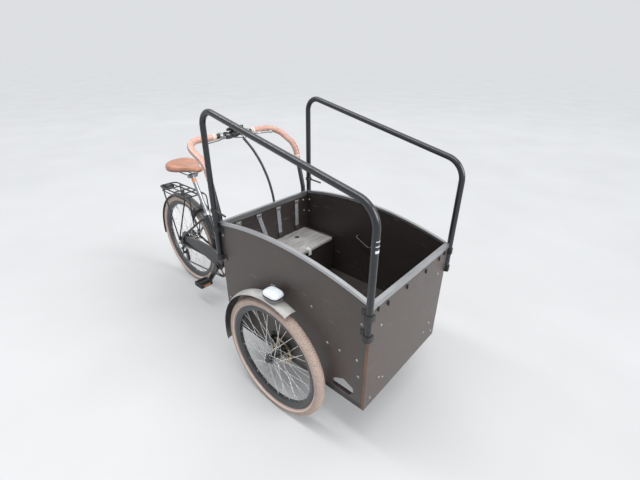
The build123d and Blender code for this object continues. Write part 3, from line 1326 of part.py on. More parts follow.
CAGE_R = 13.0
CAGE_Y = 5.6
CAGE_T = 1.6
HANGER_Z = REAR_TYRE_R - 42.0
HANGER_X = REAR_X + 12.0


def derailleur():
    """The rear derailleur: knuckle on the hanger, link, cage plates and two toothed pulleys."""
    (gx, gz, _, _), (tx, tz, _, _) = drive_wheels(CAGE_ANGLE)[2:]
    face = make_hull([*(Pos(gx, gz) * Circle(CAGE_R)).edges(), *(Pos(tx, tz) * Circle(CAGE_R)).edges()])
    parts = []
    for side in (-1, 1):
        y = CHAINLINE_Y + side * (CAGE_Y + CAGE_T / 2)
        plane = Plane(origin=(0, y, 0), x_dir=(1, 0, 0), z_dir=(0, -1, 0))
        parts.append(extrude(plane * face, CAGE_T / 2, both=True))
    for x, z in ((gx, gz), (tx, tz)):
        parts.append(Pos(x, CHAINLINE_Y, z) * Rot(90, 0, 0) * toothed_disc(GUIDE_TEETH, SPROCKET_T))
        reach = CAGE_Y + CAGE_T + 1
        parts.append(axle_cylinder(x, z, CHAINLINE_Y - reach, CHAINLINE_Y + reach, 4))
    y_cage = CHAINLINE_Y - CAGE_Y
    y_hanger = -DROPOUT_Y - DROPOUT_T - SEAT_GAP
    knuckle = axle_cylinder(HANGER_X, HANGER_Z, y_hanger, y_hanger - 13, 10)
    lower = axle_cylinder(gx, gz, y_cage - 0.5, y_hanger - 9, 9)
    link = rod((HANGER_X, y_hanger - 7, HANGER_Z), (gx, y_hanger - 2, gz), 5.5)
    return knuckle.fuse(lower, link, *parts)


GUARD_PLATE_Y = -59.8
GUARD_PLATE_T = 2.2
GUARD_HOLE_R = 30.0
GUARD_LIP = 12.0
GUARD_LIP_T = 2.5
GUARD_REAR = -384.0
# Places from the crank's axis, (along x, up).
GUARD_CROWN = (-154.0, 118.0)
GUARD_BROW = (-6.0, 103.0)
GUARD_TEMPLE = (34.0, 86.0)
GUARD_NOSE = (57.0, 66.0)
GUARD_CHIN = (46.0, -6.0)
GUARD_JAW = (-64.0, 4.0)
GUARD_BELLY = (-230.0, 36.0)
GUARD_REAR_HEIGHTS = (52.0, 86.0)
GUARD_TAB = (-274.0, -254.0)


def chain_guard():
    """The leaf-shaped guard over the chain's upper run and round the chainring."""
    low_rear, high_rear = [(GUARD_REAR, z) for z in GUARD_REAR_HEIGHTS]
    leaf = make_face(Curve() + [
        ThreePointArc(high_rear, GUARD_CROWN, GUARD_BROW),
        ThreePointArc(GUARD_BROW, GUARD_TEMPLE, GUARD_NOSE),
        Line(GUARD_NOSE, GUARD_CHIN),
        Line(GUARD_CHIN, GUARD_JAW),
        ThreePointArc(GUARD_JAW, GUARD_BELLY, low_rear),
        Line(low_rear, high_rear),
    ])
    plane = Plane(origin=(at_x(CRANK_X), GUARD_PLATE_Y, CRANK_Z), x_dir=(1, 0, 0), z_dir=(0, -1, 0))
    plate = extrude(plane * (leaf - Circle(GUARD_HOLE_R)), GUARD_PLATE_T)
    lip = extrude(plane * (leaf - Pos(0, -GUARD_LIP_T) * leaf), -GUARD_LIP)
    # It is held by an arm on the seat tube and rests with a tab on the chain stay.
    z_rod = CRANK_Z + 94
    x_rod = at_x(seat_line(z_rod))
    arm = rod((x_rod, -SEAT_TUBE_R - SEAT_GAP, z_rod), (x_rod, GUARD_PLATE_Y - 1, z_rod), 3.5)
    tab_x = [CRANK_X + x for x in GUARD_TAB]
    tab_z = (stay_top(tab_x[0]) + SEAT_GAP, CRANK_Z + GUARD_BELLY[1] + GUARD_PLATE_T * 4)
    tab = block(tab_x, (GUARD_PLATE_Y - GUARD_PLATE_T, GUARD_PLATE_Y), tab_z)
    return plate.fuse(lip, arm, tab)


def build():
    """Write every node."""
    box_panels()
    write("subframe", subframe())
    write("kingpin", kingpin())
    write("stub_axles", *both_sides(stub_axle()))
    write("front_mudguards", *both_sides(front_guard()))
    write("canopy_rails", *both_sides(rail()))
    write("grips", *both_sides(grip()))
    write("brake_calipers", *both_sides(caliper()))
    housing, cap = lamp()
    write("headlamp_housings", *both_sides(housing))
    write("headlamp_caps", *both_sides(cap))
    write("turn_studs", *turn_studs())
    write("side_handles", *both_sides(side_handle()))
    write("seat_belts", *seat_belts())
    write("control_cables", *control_cables())
    clamps = rail_clamps()
    write("rail_clamps", *clamps, *[mirror(c, about=Plane.XZ) for c in clamps])
    write("handlebar", handlebar())
    write("handlebar_clamps", *bar_clamps())
    write("brake_levers", *both_sides(brake_lever()))
    write("display_and_shifter", *display())
    write("cable_sleeve", sleeve())
    write("cable_gland", sleeve_clip())
    for name, shape in zip(("tyre", "rim", "spoked_hub", "brake_rotor"), front_wheel()):
        right, left = both_sides(shape)
        write(f"front_{name}_right", right)
        write(f"front_{name}_left", left)
    for name, shape in zip(("tyre", "rim", "spoked_hub", "sprocket"), rear_wheel()):
        write(f"rear_{name}", shape)
    write("rear_frame", rear_frame())
    write("rear_axle", rear_axle())
    write("seat_post", seat_post())
    write("seat_collar", seat_collar())
    write("saddle", saddle())
    write("rack", rack())
    write("tail_lamp", tail_lamp())
    write("battery_case", battery_case())
    write("ring_lock", ring_lock())
    write("derailleur", derailleur())
    write("rear_mudguard", rear_guard())
    write("crank_set", crank_set())
    write("chainring", chainring())
    write("pedal_right", pedal(-1, CRANK_ANGLE))
    write("pedal_left", pedal(1, CRANK_ANGLE + 180))
    write("chain", chain())
    write("chain_guard", chain_guard())


build()
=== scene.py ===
import math

import bpy
import numpy as np
from mathutils import Matrix, Vector


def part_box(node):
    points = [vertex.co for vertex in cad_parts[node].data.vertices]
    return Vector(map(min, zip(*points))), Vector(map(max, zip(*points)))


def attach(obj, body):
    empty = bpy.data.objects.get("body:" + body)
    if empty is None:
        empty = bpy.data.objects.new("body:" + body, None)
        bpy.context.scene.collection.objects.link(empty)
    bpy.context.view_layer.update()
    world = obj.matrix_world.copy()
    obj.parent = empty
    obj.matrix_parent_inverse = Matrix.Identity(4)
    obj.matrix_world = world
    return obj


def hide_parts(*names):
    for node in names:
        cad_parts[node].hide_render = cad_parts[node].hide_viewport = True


# Looks of the electric cargo trike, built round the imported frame. Metres, in the frame's axes:
# +X forward, +Y to the rider's left, +Z up, the ground at z = 0.
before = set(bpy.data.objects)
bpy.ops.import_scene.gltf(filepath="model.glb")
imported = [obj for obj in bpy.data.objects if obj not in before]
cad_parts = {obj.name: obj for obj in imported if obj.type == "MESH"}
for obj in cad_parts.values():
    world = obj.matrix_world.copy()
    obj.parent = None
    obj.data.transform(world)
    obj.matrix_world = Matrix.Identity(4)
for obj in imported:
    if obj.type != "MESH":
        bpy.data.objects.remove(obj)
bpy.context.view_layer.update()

# Places worked out from the frame
tyre_low, tyre_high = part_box("front_tyre_right")
rear_low, rear_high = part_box("rear_tyre")
AXLE_X = (tyre_low.x + tyre_high.x) / 2
FRONT_TYRE_R = (tyre_high.z - tyre_low.z) / 2
HALF_TRACK = -(tyre_low.y + tyre_high.y) / 2
REAR_X = (rear_low.x + rear_high.x) / 2
REAR_TYRE_R = (rear_high.z - rear_low.z) / 2
TYRE_WIDTH = rear_high.y - rear_low.y
BOX_HALF_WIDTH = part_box("box_front")[1].y
BOX_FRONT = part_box("box_front")[1].x
BOX_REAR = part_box("box_rear")[0].x
PANEL_T = BOX_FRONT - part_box("box_front")[0].x
SIDES = (("right", -1), ("left", 1))


def at_x(x):
    """A place along x measured from the front axle, in the frame."""
    return AXLE_X + x


BOX_MIDDLE = (at_x(0.02), 0.0, 0.60)


# Mesh parts. A part is (points, [faces, ...]), where each faces array has one row a face.
def grid_faces(rows, cols, wrap_rows=False, wrap_cols=False):
    """Quads between neighbours of a grid of points numbered row by row."""
    r, c = np.meshgrid(np.arange(rows - (not wrap_rows)), np.arange(cols - (not wrap_cols)), indexing="ij")
    r2, c2 = (r + 1) % rows, (c + 1) % cols
    return np.stack([r * cols + c, r2 * cols + c, r2 * cols + c2, r * cols + c2], -1).reshape(-1, 4)


def outward(points, faces):
    """The part with its faces turned outwards, by the sign of the volume that they enclose."""
    volume = 0.0
    for polys in faces:
        fan = points[polys]
        for i in range(1, polys.shape[1] - 1):
            volume += np.einsum("ij,ij->i", fan[:, 0], np.cross(fan[:, i], fan[:, i + 1])).sum()
    if volume < 0:
        faces = [polys[:, ::-1] for polys in faces]
    return points, faces


def rings(points, wrap_rows=False):
    """A closed skin over rows of rings, (rows, cols, 3), with its two ends closed."""
    rows, cols = points.shape[:2]
    faces = [grid_faces(rows, cols, wrap_rows, True)]
    if not wrap_rows:
        ring = np.arange(cols)
        faces += [ring[None, ::-1], ring[None] + (rows - 1) * cols]
    return outward(points.reshape(-1, 3), faces)


def at_heights(flat, heights):
    """Rows of (x, y) places, (rows, cols, 2), with each row lifted to its own height."""
    z = np.broadcast_to(np.reshape(heights, (-1, 1, 1)), (*flat.shape[:2], 1))
    return np.concatenate([flat, z], -1)


def bowed(value, power):
    """A value's power, with the value's sign kept."""
    return np.sign(value) * np.abs(value) ** power


# Ways off every run, from which the first ring of a tube and of a rod is turned
TUBE_SIDE = (0.3, 0.5, 0.81)
ROD_SIDE = (0.31, 0.87, 0.38)


def tube(path, radius, sides=12):
    """A round tube along a path: point = path + radius (u cos t + v sin t), where the ring's frame u, v is
    carried on without twist. The radius is one number, one a path point, or one a point of every ring."""
    path = np.asarray(path, float)
    radius = np.asarray(radius, float)
    radius = np.broadcast_to(radius if radius.ndim == 2 else radius.reshape(-1, 1), (len(path), sides))
    ahead = np.gradient(path, axis=0)
    ahead /= np.linalg.norm(ahead, axis=1)[:, None]
    side = np.cross(ahead[0], TUBE_SIDE)
    frames = []
    for direction in ahead:
        side = side - direction * (side @ direction)
        side = side / np.linalg.norm(side)
        frames.append((side, np.cross(direction, side)))
    u, v = np.array(frames).transpose(1, 0, 2)[:, :, None]
    turn = np.linspace(0, 2 * np.pi, sides, endpoint=False)[None, :, None]
    ring = u * np.cos(turn) + v * np.sin(turn)
    return rings(path[:, None] + ring * radius[..., None])


def rods(starts, stops, radius, sides=8):
    """Straight round rods between two (n, 3) arrays of places: point = end + radius (u cos t + v sin t)."""
    starts, stops = np.asarray(starts, float), np.asarray(stops, float)
    ahead = stops - starts
    ahead /= np.linalg.norm(ahead, axis=1)[:, None]
    u = np.cross(ahead, ROD_SIDE)
    u /= np.linalg.norm(u, axis=1)[:, None]
    v = np.cross(ahead, u)
    turn = np.linspace(0, 2 * np.pi, sides, endpoint=False)[:, None]
    ring = radius * (u[:, None] * np.cos(turn) + v[:, None] * np.sin(turn))
    points = np.stack([starts[:, None] + ring, stops[:, None] + ring], 1).reshape(-1, 3)
    base = (np.arange(len(starts)) * 2 * sides)[:, None]
    walls = (grid_faces(2, sides, wrap_cols=True).reshape(1, -1) + base).reshape(-1, 4)
    cap = np.arange(sides)
    return outward(points, [walls, cap[None, ::-1] + base, cap[None] + sides + base])


def lathe(profile, turns=32, origin=(0, 0, 0), axis=(0, 0, 1), closed=False):
    """A profile of (along, radius) points turned about an axis through the origin: point = origin + along
    axis + radius (u cos t + v sin t). A closed profile's last point joins its first, as round a bore."""
    profile = np.asarray(profile, float)
    along = Vector(axis).normalized()
    u = np.array(along.orthogonal().normalized())
    v = np.cross(np.array(along), u)
    turn = np.linspace(0, 2 * np.pi, turns, endpoint=False)
    around = np.cos(turn)[:, None] * u + np.sin(turn)[:, None] * v
    points = profile[:, 1, None, None] * around[None] + profile[:, 0, None, None] * np.array(along)
    return rings(points + np.array(origin, float), wrap_rows=closed)


def hoop(low, high, corner, profile, steps=7):
    """A closed profile of (out, z) points carried round a rectangle in xy with rounded corners:
    point = corner centre + (corner radius + out) (cos t, sin t)."""
    t = np.radians(np.concatenate([np.linspace(a, a + 90, steps) for a in (0, 90, 180, 270)]))
    way = np.stack([np.cos(t), np.sin(t)], -1)
    to_corner = np.repeat([(1, 1), (-1, 1), (-1, -1), (1, -1)], steps, axis=0)
    low, high, profile = np.array(low), np.array(high), np.array(profile)
    centre = (low + high) / 2 + to_corner * ((high - low) / 2 - corner)
    flat = centre[None] + (corner + profile[:, 0, None, None]) * way[None]
    return rings(at_heights(flat, profile[:, 1]), wrap_rows=True)


# The power of cos and sin that makes a circle a rounded oblong, and where a dome is closed below its top
OBLONG = 0.62
DOME_TOP = 0.9995


def dome(middle, half, rise, power, rows=22, cols=64):
    """A dome over a rounded oblong: x = a k |cos t|^0.62, y = b k |sin t|^0.62 (signs kept), z = rise s,
    where k = (1 - s^power)^(1 / power) and s runs from the rim to the top."""
    s = np.sin(np.linspace(0, math.pi / 2, rows)) * DOME_TOP
    k = (1 - s ** power) ** (1 / power)
    t = np.linspace(0, 2 * np.pi, cols, endpoint=False)
    plan = np.stack([half[0] * bowed(np.cos(t), OBLONG), half[1] * bowed(np.sin(t), OBLONG)], -1)
    return rings(at_heights(k[:, None, None] * plan[None], rise * s) + np.array(middle))


def smooth_between(x, xs, ys):
    """A smooth curve through places: a cubic between each two, with a mean of both sides' slopes at each
    place, in which the nearer side counts more."""
    xs, ys = np.asarray(xs, float), np.asarray(ys, float)
    slope = np.gradient(ys, xs)
    i = np.clip(np.searchsorted(xs, x) - 1, 0, len(xs) - 2)
    run = xs[i + 1] - xs[i]
    t = np.clip((x - xs[i]) / run, 0, 1)
    return ((1 + 2 * t) * (1 - t) ** 2 * ys[i] + t * (1 - t) ** 2 * run * slope[i]
            + t * t * (3 - 2 * t) * ys[i + 1] + t * t * (t - 1) * run * slope[i + 1])


def cut_disc(radii, keep, thickness):
    """A flat ring about the y axis in polar cells, (rows, cols), of which only the kept ones are solid:
    point = r (cos t, 0, sin t) at y = half the thickness either way, with walls round every cut."""
    rows, cols = keep.shape
    turn = 2 * np.pi * np.arange(cols) / cols
    flat = np.array(radii)[:, None, None] * np.stack([np.cos(turn), 0 * turn, np.sin(turn)], -1)
    count = (rows + 1) * cols
    points = np.concatenate([flat - [0, thickness / 2, 0], flat + [0, thickness / 2, 0]]).reshape(-1, 3)
    at = np.arange(count).reshape(rows + 1, cols)
    ahead = np.roll(at, -1, 1)
    plates = np.stack([at[:-1], at[1:], ahead[1:], ahead[:-1]], -1)[keep]
    faces = [plates, plates[:, ::-1] + count]
    ringed = np.pad(keep, ((1, 1), (0, 0)))
    before = np.roll(keep, 1, 1)
    for edge_a, edge_b, here, there in (
        (at, ahead, ringed[1:], ringed[:-1]),
        (at[1:], at[:-1], keep, before),
    ):
        for a, b, cut in ((edge_a, edge_b, here & ~there), (edge_b, edge_a, there & ~here)):
            faces.append(np.stack([a[cut], b[cut], b[cut] + count, a[cut] + count], -1))
    return outward(points, faces)


# A strap's section: the flat share of its width, and its edge as a share of its thickness
STRAP_FLAT, STRAP_EDGE = 0.94, 0.4


def ribbon(path, width, thickness, across=(0, 1, 0)):
    """A flat strap along a path: point = path + a across + b normal, where (a, b) goes round a section of
    eight corners, and the normal is square to the run and to the fixed direction across."""
    path, across = np.asarray(path, float), np.array(across, float)
    ahead = np.gradient(path, axis=0)
    ahead /= np.linalg.norm(ahead, axis=1)[:, None]
    normal = np.cross(ahead, across)
    normal /= np.linalg.norm(normal, axis=1)[:, None]
    w, t = width / 2, thickness / 2
    flat, edge = w * STRAP_FLAT, t * STRAP_EDGE
    section = np.array([(-w, -edge), (-flat, -t), (flat, -t), (w, -edge),
                        (w, edge), (flat, t), (-flat, t), (-w, edge)])
    points = path[:, None] + section[None, :, :1] * across + section[None, :, 1:] * normal[:, None]
    return rings(points)


def bent(corners, radii, steps=9):
    """Points along straight runs whose corners are rounded: each arc turns from one tangent point to the
    next, as (sin((1 - t) turn) u + sin(t turn) v) / sin(turn) about its middle."""
    corners = np.asarray(corners, float)
    path = [corners[0]]
    for before, corner, after, radius in zip(corners[:-2], corners[1:-1], corners[2:], radii):
        a, b = before - corner, after - corner
        a, b = a / np.linalg.norm(a), b / np.linalg.norm(b)
        half = np.arccos(np.clip(a @ b, -1, 1)) / 2
        middle = corner + (a + b) / np.linalg.norm(a + b) * radius / np.sin(half)
        u, v = corner + a * radius / np.tan(half) - middle, corner + b * radius / np.tan(half) - middle
        turn, t = np.pi - 2 * half, np.linspace(0, 1, steps)[:, None]
        path.extend(middle + (np.sin((1 - t) * turn) * u + np.sin(t * turn) * v) / np.sin(turn))
    return np.array([*path, corners[-1]])


def spaced(path, step):
    """The path with evenly spaced points, and the run up to each."""
    run = np.concatenate([[0], np.cumsum(np.linalg.norm(np.diff(path, axis=0), axis=1))])
    s = np.linspace(0, run[-1], round(run[-1] / step) + 1)
    return np.stack([np.interp(s, run, path[:, k]) for k in range(3)], -1), s


MOST_ROUND = 0.98


def rounded_box(size, radius, steps=3):
    """A box with rounded edges: point = the nearest corner of an inner box + radius times the way that a
    point of a cube looks. The radius is held just short of half the thinnest side."""
    half = np.array(size, float) / 2
    radius = min(radius, half.min() * MOST_ROUND)
    edge = np.linspace(-1, 1, 2 * steps + 2)
    a, b = np.meshgrid(edge, edge, indexing="ij")
    points, faces, base = [], [], 0
    for axis in range(3):
        for sign in (-1, 1):
            p = np.empty(a.shape + (3,))
            p[..., axis] = sign
            p[..., (axis + 1) % 3] = a * sign
            p[..., (axis + 2) % 3] = b
            away = p / np.linalg.norm(p, axis=-1)[..., None]
            points.append((np.sign(p) * (half - radius) + away * radius).reshape(-1, 3))
            faces.append(grid_faces(len(edge), len(edge)) + base)
            base += a.size
    return outward(np.concatenate(points), [np.concatenate(faces)])


def turned(part, angle, axis):
    """A part turned about an axis through the origin, in degrees."""
    return part[0] @ np.array(Matrix.Rotation(math.radians(angle), 3, axis)).T, part[1]


def shifted(part, place):
    """A part moved to a place."""
    return part[0] + np.array(place, float), part[1]


def mirrored(part):
    """The part's mirror image on the other side of the xz plane."""
    points, faces = part
    return points * np.array([1.0, -1.0, 1.0]), [polys[:, ::-1] for polys in faces]


def both_sides(parts):
    """Parts and their mirror images."""
    return list(parts) + [mirrored(p) for p in parts]


SHARP_ANGLE = 38.0


def piece(name, parts, finish, body, replaces=(), layers=None):
    """One named object from parts, with a material and its record slot, riding a body of the frame. Layers
    are the point values that its material reads, by name."""
    points, loops, sizes, base = [], [], [], 0
    for part_points, faces in parts:
        points.append(part_points)
        for polys in faces:
            loops.append((polys + base).ravel())
            sizes.append(np.full(len(polys), polys.shape[1]))
        base += len(part_points)
    points, loops, sizes = np.concatenate(points), np.concatenate(loops), np.concatenate(sizes)
    mesh = bpy.data.meshes.new(name)
    mesh.vertices.add(len(points))
    mesh.vertices.foreach_set("co", points.astype(np.float32).ravel())
    mesh.loops.add(len(loops))
    mesh.loops.foreach_set("vertex_index", loops.astype(np.int32))
    mesh.polygons.add(len(sizes))
    mesh.polygons.foreach_set("loop_start", np.concatenate([[0], np.cumsum(sizes)[:-1]]).astype(np.int32))
    mesh.update(calc_edges=True)
    mesh.polygons.foreach_set("use_smooth", np.ones(len(sizes), bool))
    for label, values in (layers or {}).items():
        layer = mesh.attributes.new(label, "FLOAT", "POINT")
        layer.data.foreach_set("value", np.asarray(values, np.float32).ravel())
    obj = bpy.data.objects.new(name, mesh)
    bpy.context.scene.collection.objects.link(obj)
    mesh.materials.append(finish)
    mesh.set_sharp_from_angle(angle=math.radians(SHARP_ANGLE))
    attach(obj, body)
    if replaces:
        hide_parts(*replaces)
    return obj


# Materials
# The range in which most of a noise lies
NOISE_LOW, NOISE_HIGH = 0.3, 0.7
# Scratches: two sets of noise drawn out along lines, one level and one slanting, each with the height
# above which it shows.
SCRATCH_SCALE = 4.0
SCRATCH_TONE = (0.40, 0.38, 0.36)
SCRATCH_FADE = 0.05
LEVEL_SQUEEZE, LEVEL_SHOWS = (2.2, 2.2, 46), 0.715
SLANT_REACH, SLANT_TURN, SLANT_SHOWS = (1.1, 0.6, 0.008), (0.0, 0.80, 0.0), 0.735
# Over what a change of colour fades: the painted shade inside the box by how far ahead of a face the box's
# middle lies, by the normal's x from the side to the rear, and in height above a lamp's foot
FACING_FADE = 0.01
BACKS_FROM, BACKS_FULL = -0.6, -0.7
FOOT_FADE = 0.0005


class Surface:
    """A node material being built: a principled surface over Object coordinates."""

    def __init__(self, name, slot, stretch=(1, 1, 1)):
        self.made = bpy.data.materials.new(name)
        self.made.use_nodes = True
        self.made["slot"] = slot
        self.nodes, self.links = self.made.node_tree.nodes, self.made.node_tree.links
        self.shader = self.nodes["Principled BSDF"]
        self.where = self.node("ShaderNodeTexCoord").outputs["Object"]
        self.stretched = self.stretch(stretch)

    def join(self, node, inputs):
        """Sets a node's inputs to values, or joins them to sockets."""
        for key, value in inputs.items():
            if isinstance(value, bpy.types.NodeSocket):
                self.links.new(value, node.inputs[key])
            else:
                node.inputs[key].default_value = value

    def node(self, kind, inputs=None, **values):
        """A new node with its own values and its inputs."""
        node = self.nodes.new(kind)
        for key, value in values.items():
            setattr(node, key, value)
        self.join(node, inputs or {})
        return node

    def stretch(self, scale):
        """Object coordinates scaled along each axis."""
        if scale == (1, 1, 1):
            return self.where
        return self.node("ShaderNodeMapping", {"Vector": self.where, "Scale": scale}).outputs["Vector"]

    def noise(self, scale, detail=4, where=None):
        """Noise from 0 to 1 over the surface."""
        found = {"Vector": where or self.stretched, "Scale": scale, "Detail": detail}
        return self.node("ShaderNodeTexNoise", found).outputs["Fac"]

    def waves(self, axis, scale, distortion, detail_scale=1.0):
        """Bands from 0 to 1 that follow one another along an axis."""
        found = {"Vector": self.where, "Scale": scale, "Distortion": distortion,
                 "Detail Scale": detail_scale}
        return self.node("ShaderNodeTexWave", found, bands_direction=axis).outputs["Fac"]

    def ranged(self, value, low, high, to_low=0.0, to_high=1.0):
        """A value's range from low to high carried to another, and held there."""
        found = {"Value": value, "From Min": low, "From Max": high, "To Min": to_low, "To Max": to_high}
        return self.node("ShaderNodeMapRange", found).outputs["Result"]

    def product(self, a, b):
        """The product of two values, held between 0 and 1."""
        both = self.node("ShaderNodeMath", {0: a, 1: b}, operation="MULTIPLY", use_clamp=True)
        return both.outputs["Value"]

    def vector(self, operation, a, b):
        """The outputs of a vector operation on two vectors."""
        return self.node("ShaderNodeVectorMath", {0: a, 1: b}, operation=operation).outputs

    def along(self, axis, vector):
        """How far a vector goes along one axis."""
        return self.node("ShaderNodeSeparateXYZ", {"Vector": vector}).outputs[axis]

    def normal(self):
        """The way that the surface looks."""
        return self.node("ShaderNodeNewGeometry").outputs["Normal"]

    def layer(self, name):
        """A piece's own point value."""
        return self.node("ShaderNodeAttribute", attribute_name=name).outputs["Fac"]

    def mixed(self, share, base, colour):
        """The base colour with a share of another."""
        found = {"Factor": share, "A": base, "B": (*colour, 1)}
        return self.node("ShaderNodeMix", found, data_type="RGBA").outputs["Result"]

    def clouded(self, colour, clouds, vary):
        """A colour made darker and lighter by up to a share, as noise has it."""
        factor = self.ranged(clouds, NOISE_LOW, NOISE_HIGH, 1 - vary, 1 + vary)
        found = {0: colour, "Scale": factor}
        return self.node("ShaderNodeVectorMath", found, operation="SCALE").outputs["Vector"]

    def shade_inside_box(self):
        """Where painted shade goes inside the cargo box: 1 on a face that looks towards its middle, 0 on
        one that looks away.
        """
        spot = self.node("ShaderNodeNewGeometry").outputs
        to_middle = self.vector("SUBTRACT", BOX_MIDDLE, spot["Position"])["Vector"]
        facing = self.vector("DOT_PRODUCT", to_middle, spot["Normal"])["Value"]
        return self.ranged(facing, 0.0, FACING_FADE)

    def scratched(self, base, share):
        """The base colour with both sets of scratches over it."""
        slanted = self.node("ShaderNodeMapping", {"Vector": self.where, "Rotation": SLANT_TURN,
                                                  "Scale": SLANT_REACH}, vector_type="TEXTURE")
        level = self.noise(SCRATCH_SCALE, 2, self.stretch(LEVEL_SQUEEZE))
        slant = self.noise(SCRATCH_SCALE, 1, slanted.outputs["Vector"])
        for lines, shows in ((level, LEVEL_SHOWS), (slant, SLANT_SHOWS)):
            seen = self.ranged(lines, shows, shows + SCRATCH_FADE, 0.0, share)
            base = self.mixed(seen, base, SCRATCH_TONE)
        return base

    def bump(self, height, strength, distance=0.0006):
        """Gives the surface the relief of a height, on top of what it has."""
        found = {"Height": height, "Strength": strength, "Distance": distance}
        if self.shader.inputs["Normal"].is_linked:
            found["Normal"] = self.shader.inputs["Normal"].links[0].from_socket
        self.links.new(self.node("ShaderNodeBump", found).outputs["Normal"], self.shader.inputs["Normal"])


def finish(name, slot, colour, rough, metal=0.0, vary=0.0, scale=40.0, stretch=(1, 1, 1), rough_vary=0.0,
           bump=0.0, bump_scale=900.0, dust=0.0, dust_colour=(0.45, 0.43, 0.40), layers=(), specular=0.5,
           inner=None, scratches=0.0, coat=0.0, coat_rough=0.12, backs=None, foot=None):
    """A painted, metal or plastic surface. Noise varies its colour and roughness, a finer noise is its
    grain, dust gathers on what faces up, and long thin noise is its scratches. A piece's own point layers
    mix in their colours, some of them painted shade, inner is painted shade for what faces the inside of
    the box, backs the colour of what faces rearwards, and foot a height and the colour below it."""
    made = Surface(name, slot, stretch)
    clouds = made.noise(scale, 6)
    out = made.clouded(colour, clouds, vary)
    # Painted shade on what faces the inside of the box
    if inner:
        out = made.mixed(made.shade_inside_box(), out, inner)
    if backs:
        rearwards = made.ranged(made.along("X", made.normal()), BACKS_FROM, BACKS_FULL)
        out = made.mixed(rearwards, out, backs)
    if foot:
        height, below = foot
        out = made.mixed(made.ranged(made.along("Z", made.where), height + FOOT_FADE, height), out, below)
    for label, tint in layers:
        out = made.mixed(made.layer(label), out, tint)
    if scratches:
        out = made.scratched(out, scratches)
    if dust:
        lying = made.product(made.product(made.along("Z", made.normal()), dust), clouds)
        out = made.mixed(lying, out, dust_colour)
    made.join(made.shader, {
        "Base Color": out, "Metallic": metal, "Specular IOR Level": specular, "Coat Weight": coat,
        "Coat Roughness": coat_rough,
        "Roughness": made.ranged(clouds, 0.0, 1.0, rough - rough_vary, rough + rough_vary),
    })
    if bump:
        made.bump(made.noise(bump_scale, 3), bump)
    return made.made


def leather():
    """Worn brown saddle leather: pebbled cells, fine pores, darker seams, painted shade on the rim
    below, a waxed coat.
    """
    made = Surface("saddle_leather", "leather_brown")
    clouds = made.noise(18, 6)
    out = made.clouded((0.34, 0.150, 0.090), clouds, 0.20)
    out = made.mixed(made.ranged(made.noise(7, 4), 0.50, 0.75, 0.0, 0.4), out, (0.60, 0.36, 0.26))
    # The shade layer: the seams' own dark colour, and painted shade on the skirt below
    out = made.mixed(made.layer("shade"), out, (0.085, 0.034, 0.020))
    out = made.mixed(made.layer("stitch"), out, (0.62, 0.46, 0.34))
    made.join(made.shader, {"Base Color": out, "Coat Weight": 0.35, "Coat Roughness": 0.22,
                            "Roughness": made.ranged(clouds, 0.0, 1.0, 0.24, 0.46)})
    cells = made.node("ShaderNodeTexVoronoi", {"Vector": made.where, "Scale": 520.0}).outputs["Distance"]
    made.bump(cells, 0.35, 0.0004)
    made.bump(made.noise(2400, 2), 0.2, 0.0002)
    return made.made


def webbing():
    """Grey woven belt: ribs across the strap and a finer cross weave, lighter along the worn edges."""
    made = Surface("belt_weave", "belt_webbing")
    out = made.clouded((0.19, 0.192, 0.205), made.noise(90, 4), 0.15)
    weave = made.waves("Z", 190.0, 0.4)
    out = made.mixed(made.ranged(weave, 0.0, 0.5, 0.45, 0.0), out, (0.10, 0.10, 0.105))
    out = made.mixed(made.layer("shade"), out, (0.52, 0.52, 0.52))
    made.join(made.shader, {"Base Color": out, "Roughness": 0.72, "Sheen Weight": 0.15})
    made.bump(weave, 0.6, 0.0005)
    made.bump(made.waves("Y", 120.0, 0.4), 0.4, 0.0003)
    return made.made


def ply_edge():
    """The bare edge of a plywood panel: thin plies in turn light and dark along x, stained and worn."""
    made = Surface("ply_edge", "panel_board")
    plies = made.waves("X", 150.0, 0.6, 0.3)
    out = made.clouded((0.20, 0.110, 0.068), made.noise(30, 5), 0.3)
    out = made.mixed(made.ranged(plies, 0.3, 0.7, 0.0, 0.6), out, (0.12, 0.06, 0.035))
    made.join(made.shader, {"Base Color": out, "Roughness": 0.7})
    made.bump(plies, 0.3, 0.0003)
    return made.made


# Boards
# The boards' inner colour is painted shade on what faces the inside of the box
BOARD = finish("film_faced_board", "panel_board", (0.064, 0.052, 0.0465), 0.42, vary=0.10, scale=7,
               rough_vary=0.10, bump=0.35, bump_scale=1400, dust=0.08, inner=(0.022, 0.017, 0.016),
               scratches=0.35)
BENCH = finish("worn_bench_board", "bench_board", (0.245, 0.238, 0.232), 0.62, vary=0.30, scale=16,
               rough_vary=0.12, bump=0.3, bump_scale=500, stretch=(3, 0.7, 1), scratches=0.5)
PLY_EDGE = ply_edge()

# Bare metal
ALUMINIUM = finish("brushed_aluminium", "trim_aluminium", (0.42, 0.425, 0.435), 0.40, metal=1.0, vary=0.08,
                   scale=60, rough_vary=0.10, bump=0.15, bump_scale=900, stretch=(0.15, 0.15, 1))
LEVER = finish("lever_alloy", "trim_aluminium", (0.34, 0.345, 0.35), 0.32, metal=1.0, vary=0.08, scale=70,
               rough_vary=0.08)
POST = finish("post_silver", "post_silver", (0.30, 0.31, 0.33), 0.40, metal=1.0, vary=0.12, scale=90,
              rough_vary=0.1, stretch=(1, 1, 0.2))
STEEL = finish("bright_steel", "steel_bright", (0.50, 0.50, 0.51), 0.30, metal=1.0, vary=0.10, scale=80,
               rough_vary=0.10)
BOLT_STEEL = finish("worn_bolt_steel", "steel_bright", (0.34, 0.335, 0.33), 0.42, metal=0.9, vary=0.18,
                    scale=150, rough_vary=0.12)
DARK_STEEL = finish("oiled_steel", "steel_bright", (0.20, 0.185, 0.17), 0.42, metal=1.0, vary=0.25,
                    scale=120, rough_vary=0.12)
ROTOR = finish("tinted_rotor", "rotor_steel", (0.52, 0.42, 0.27), 0.36, metal=1.0, vary=0.12, scale=90,
               rough_vary=0.1)
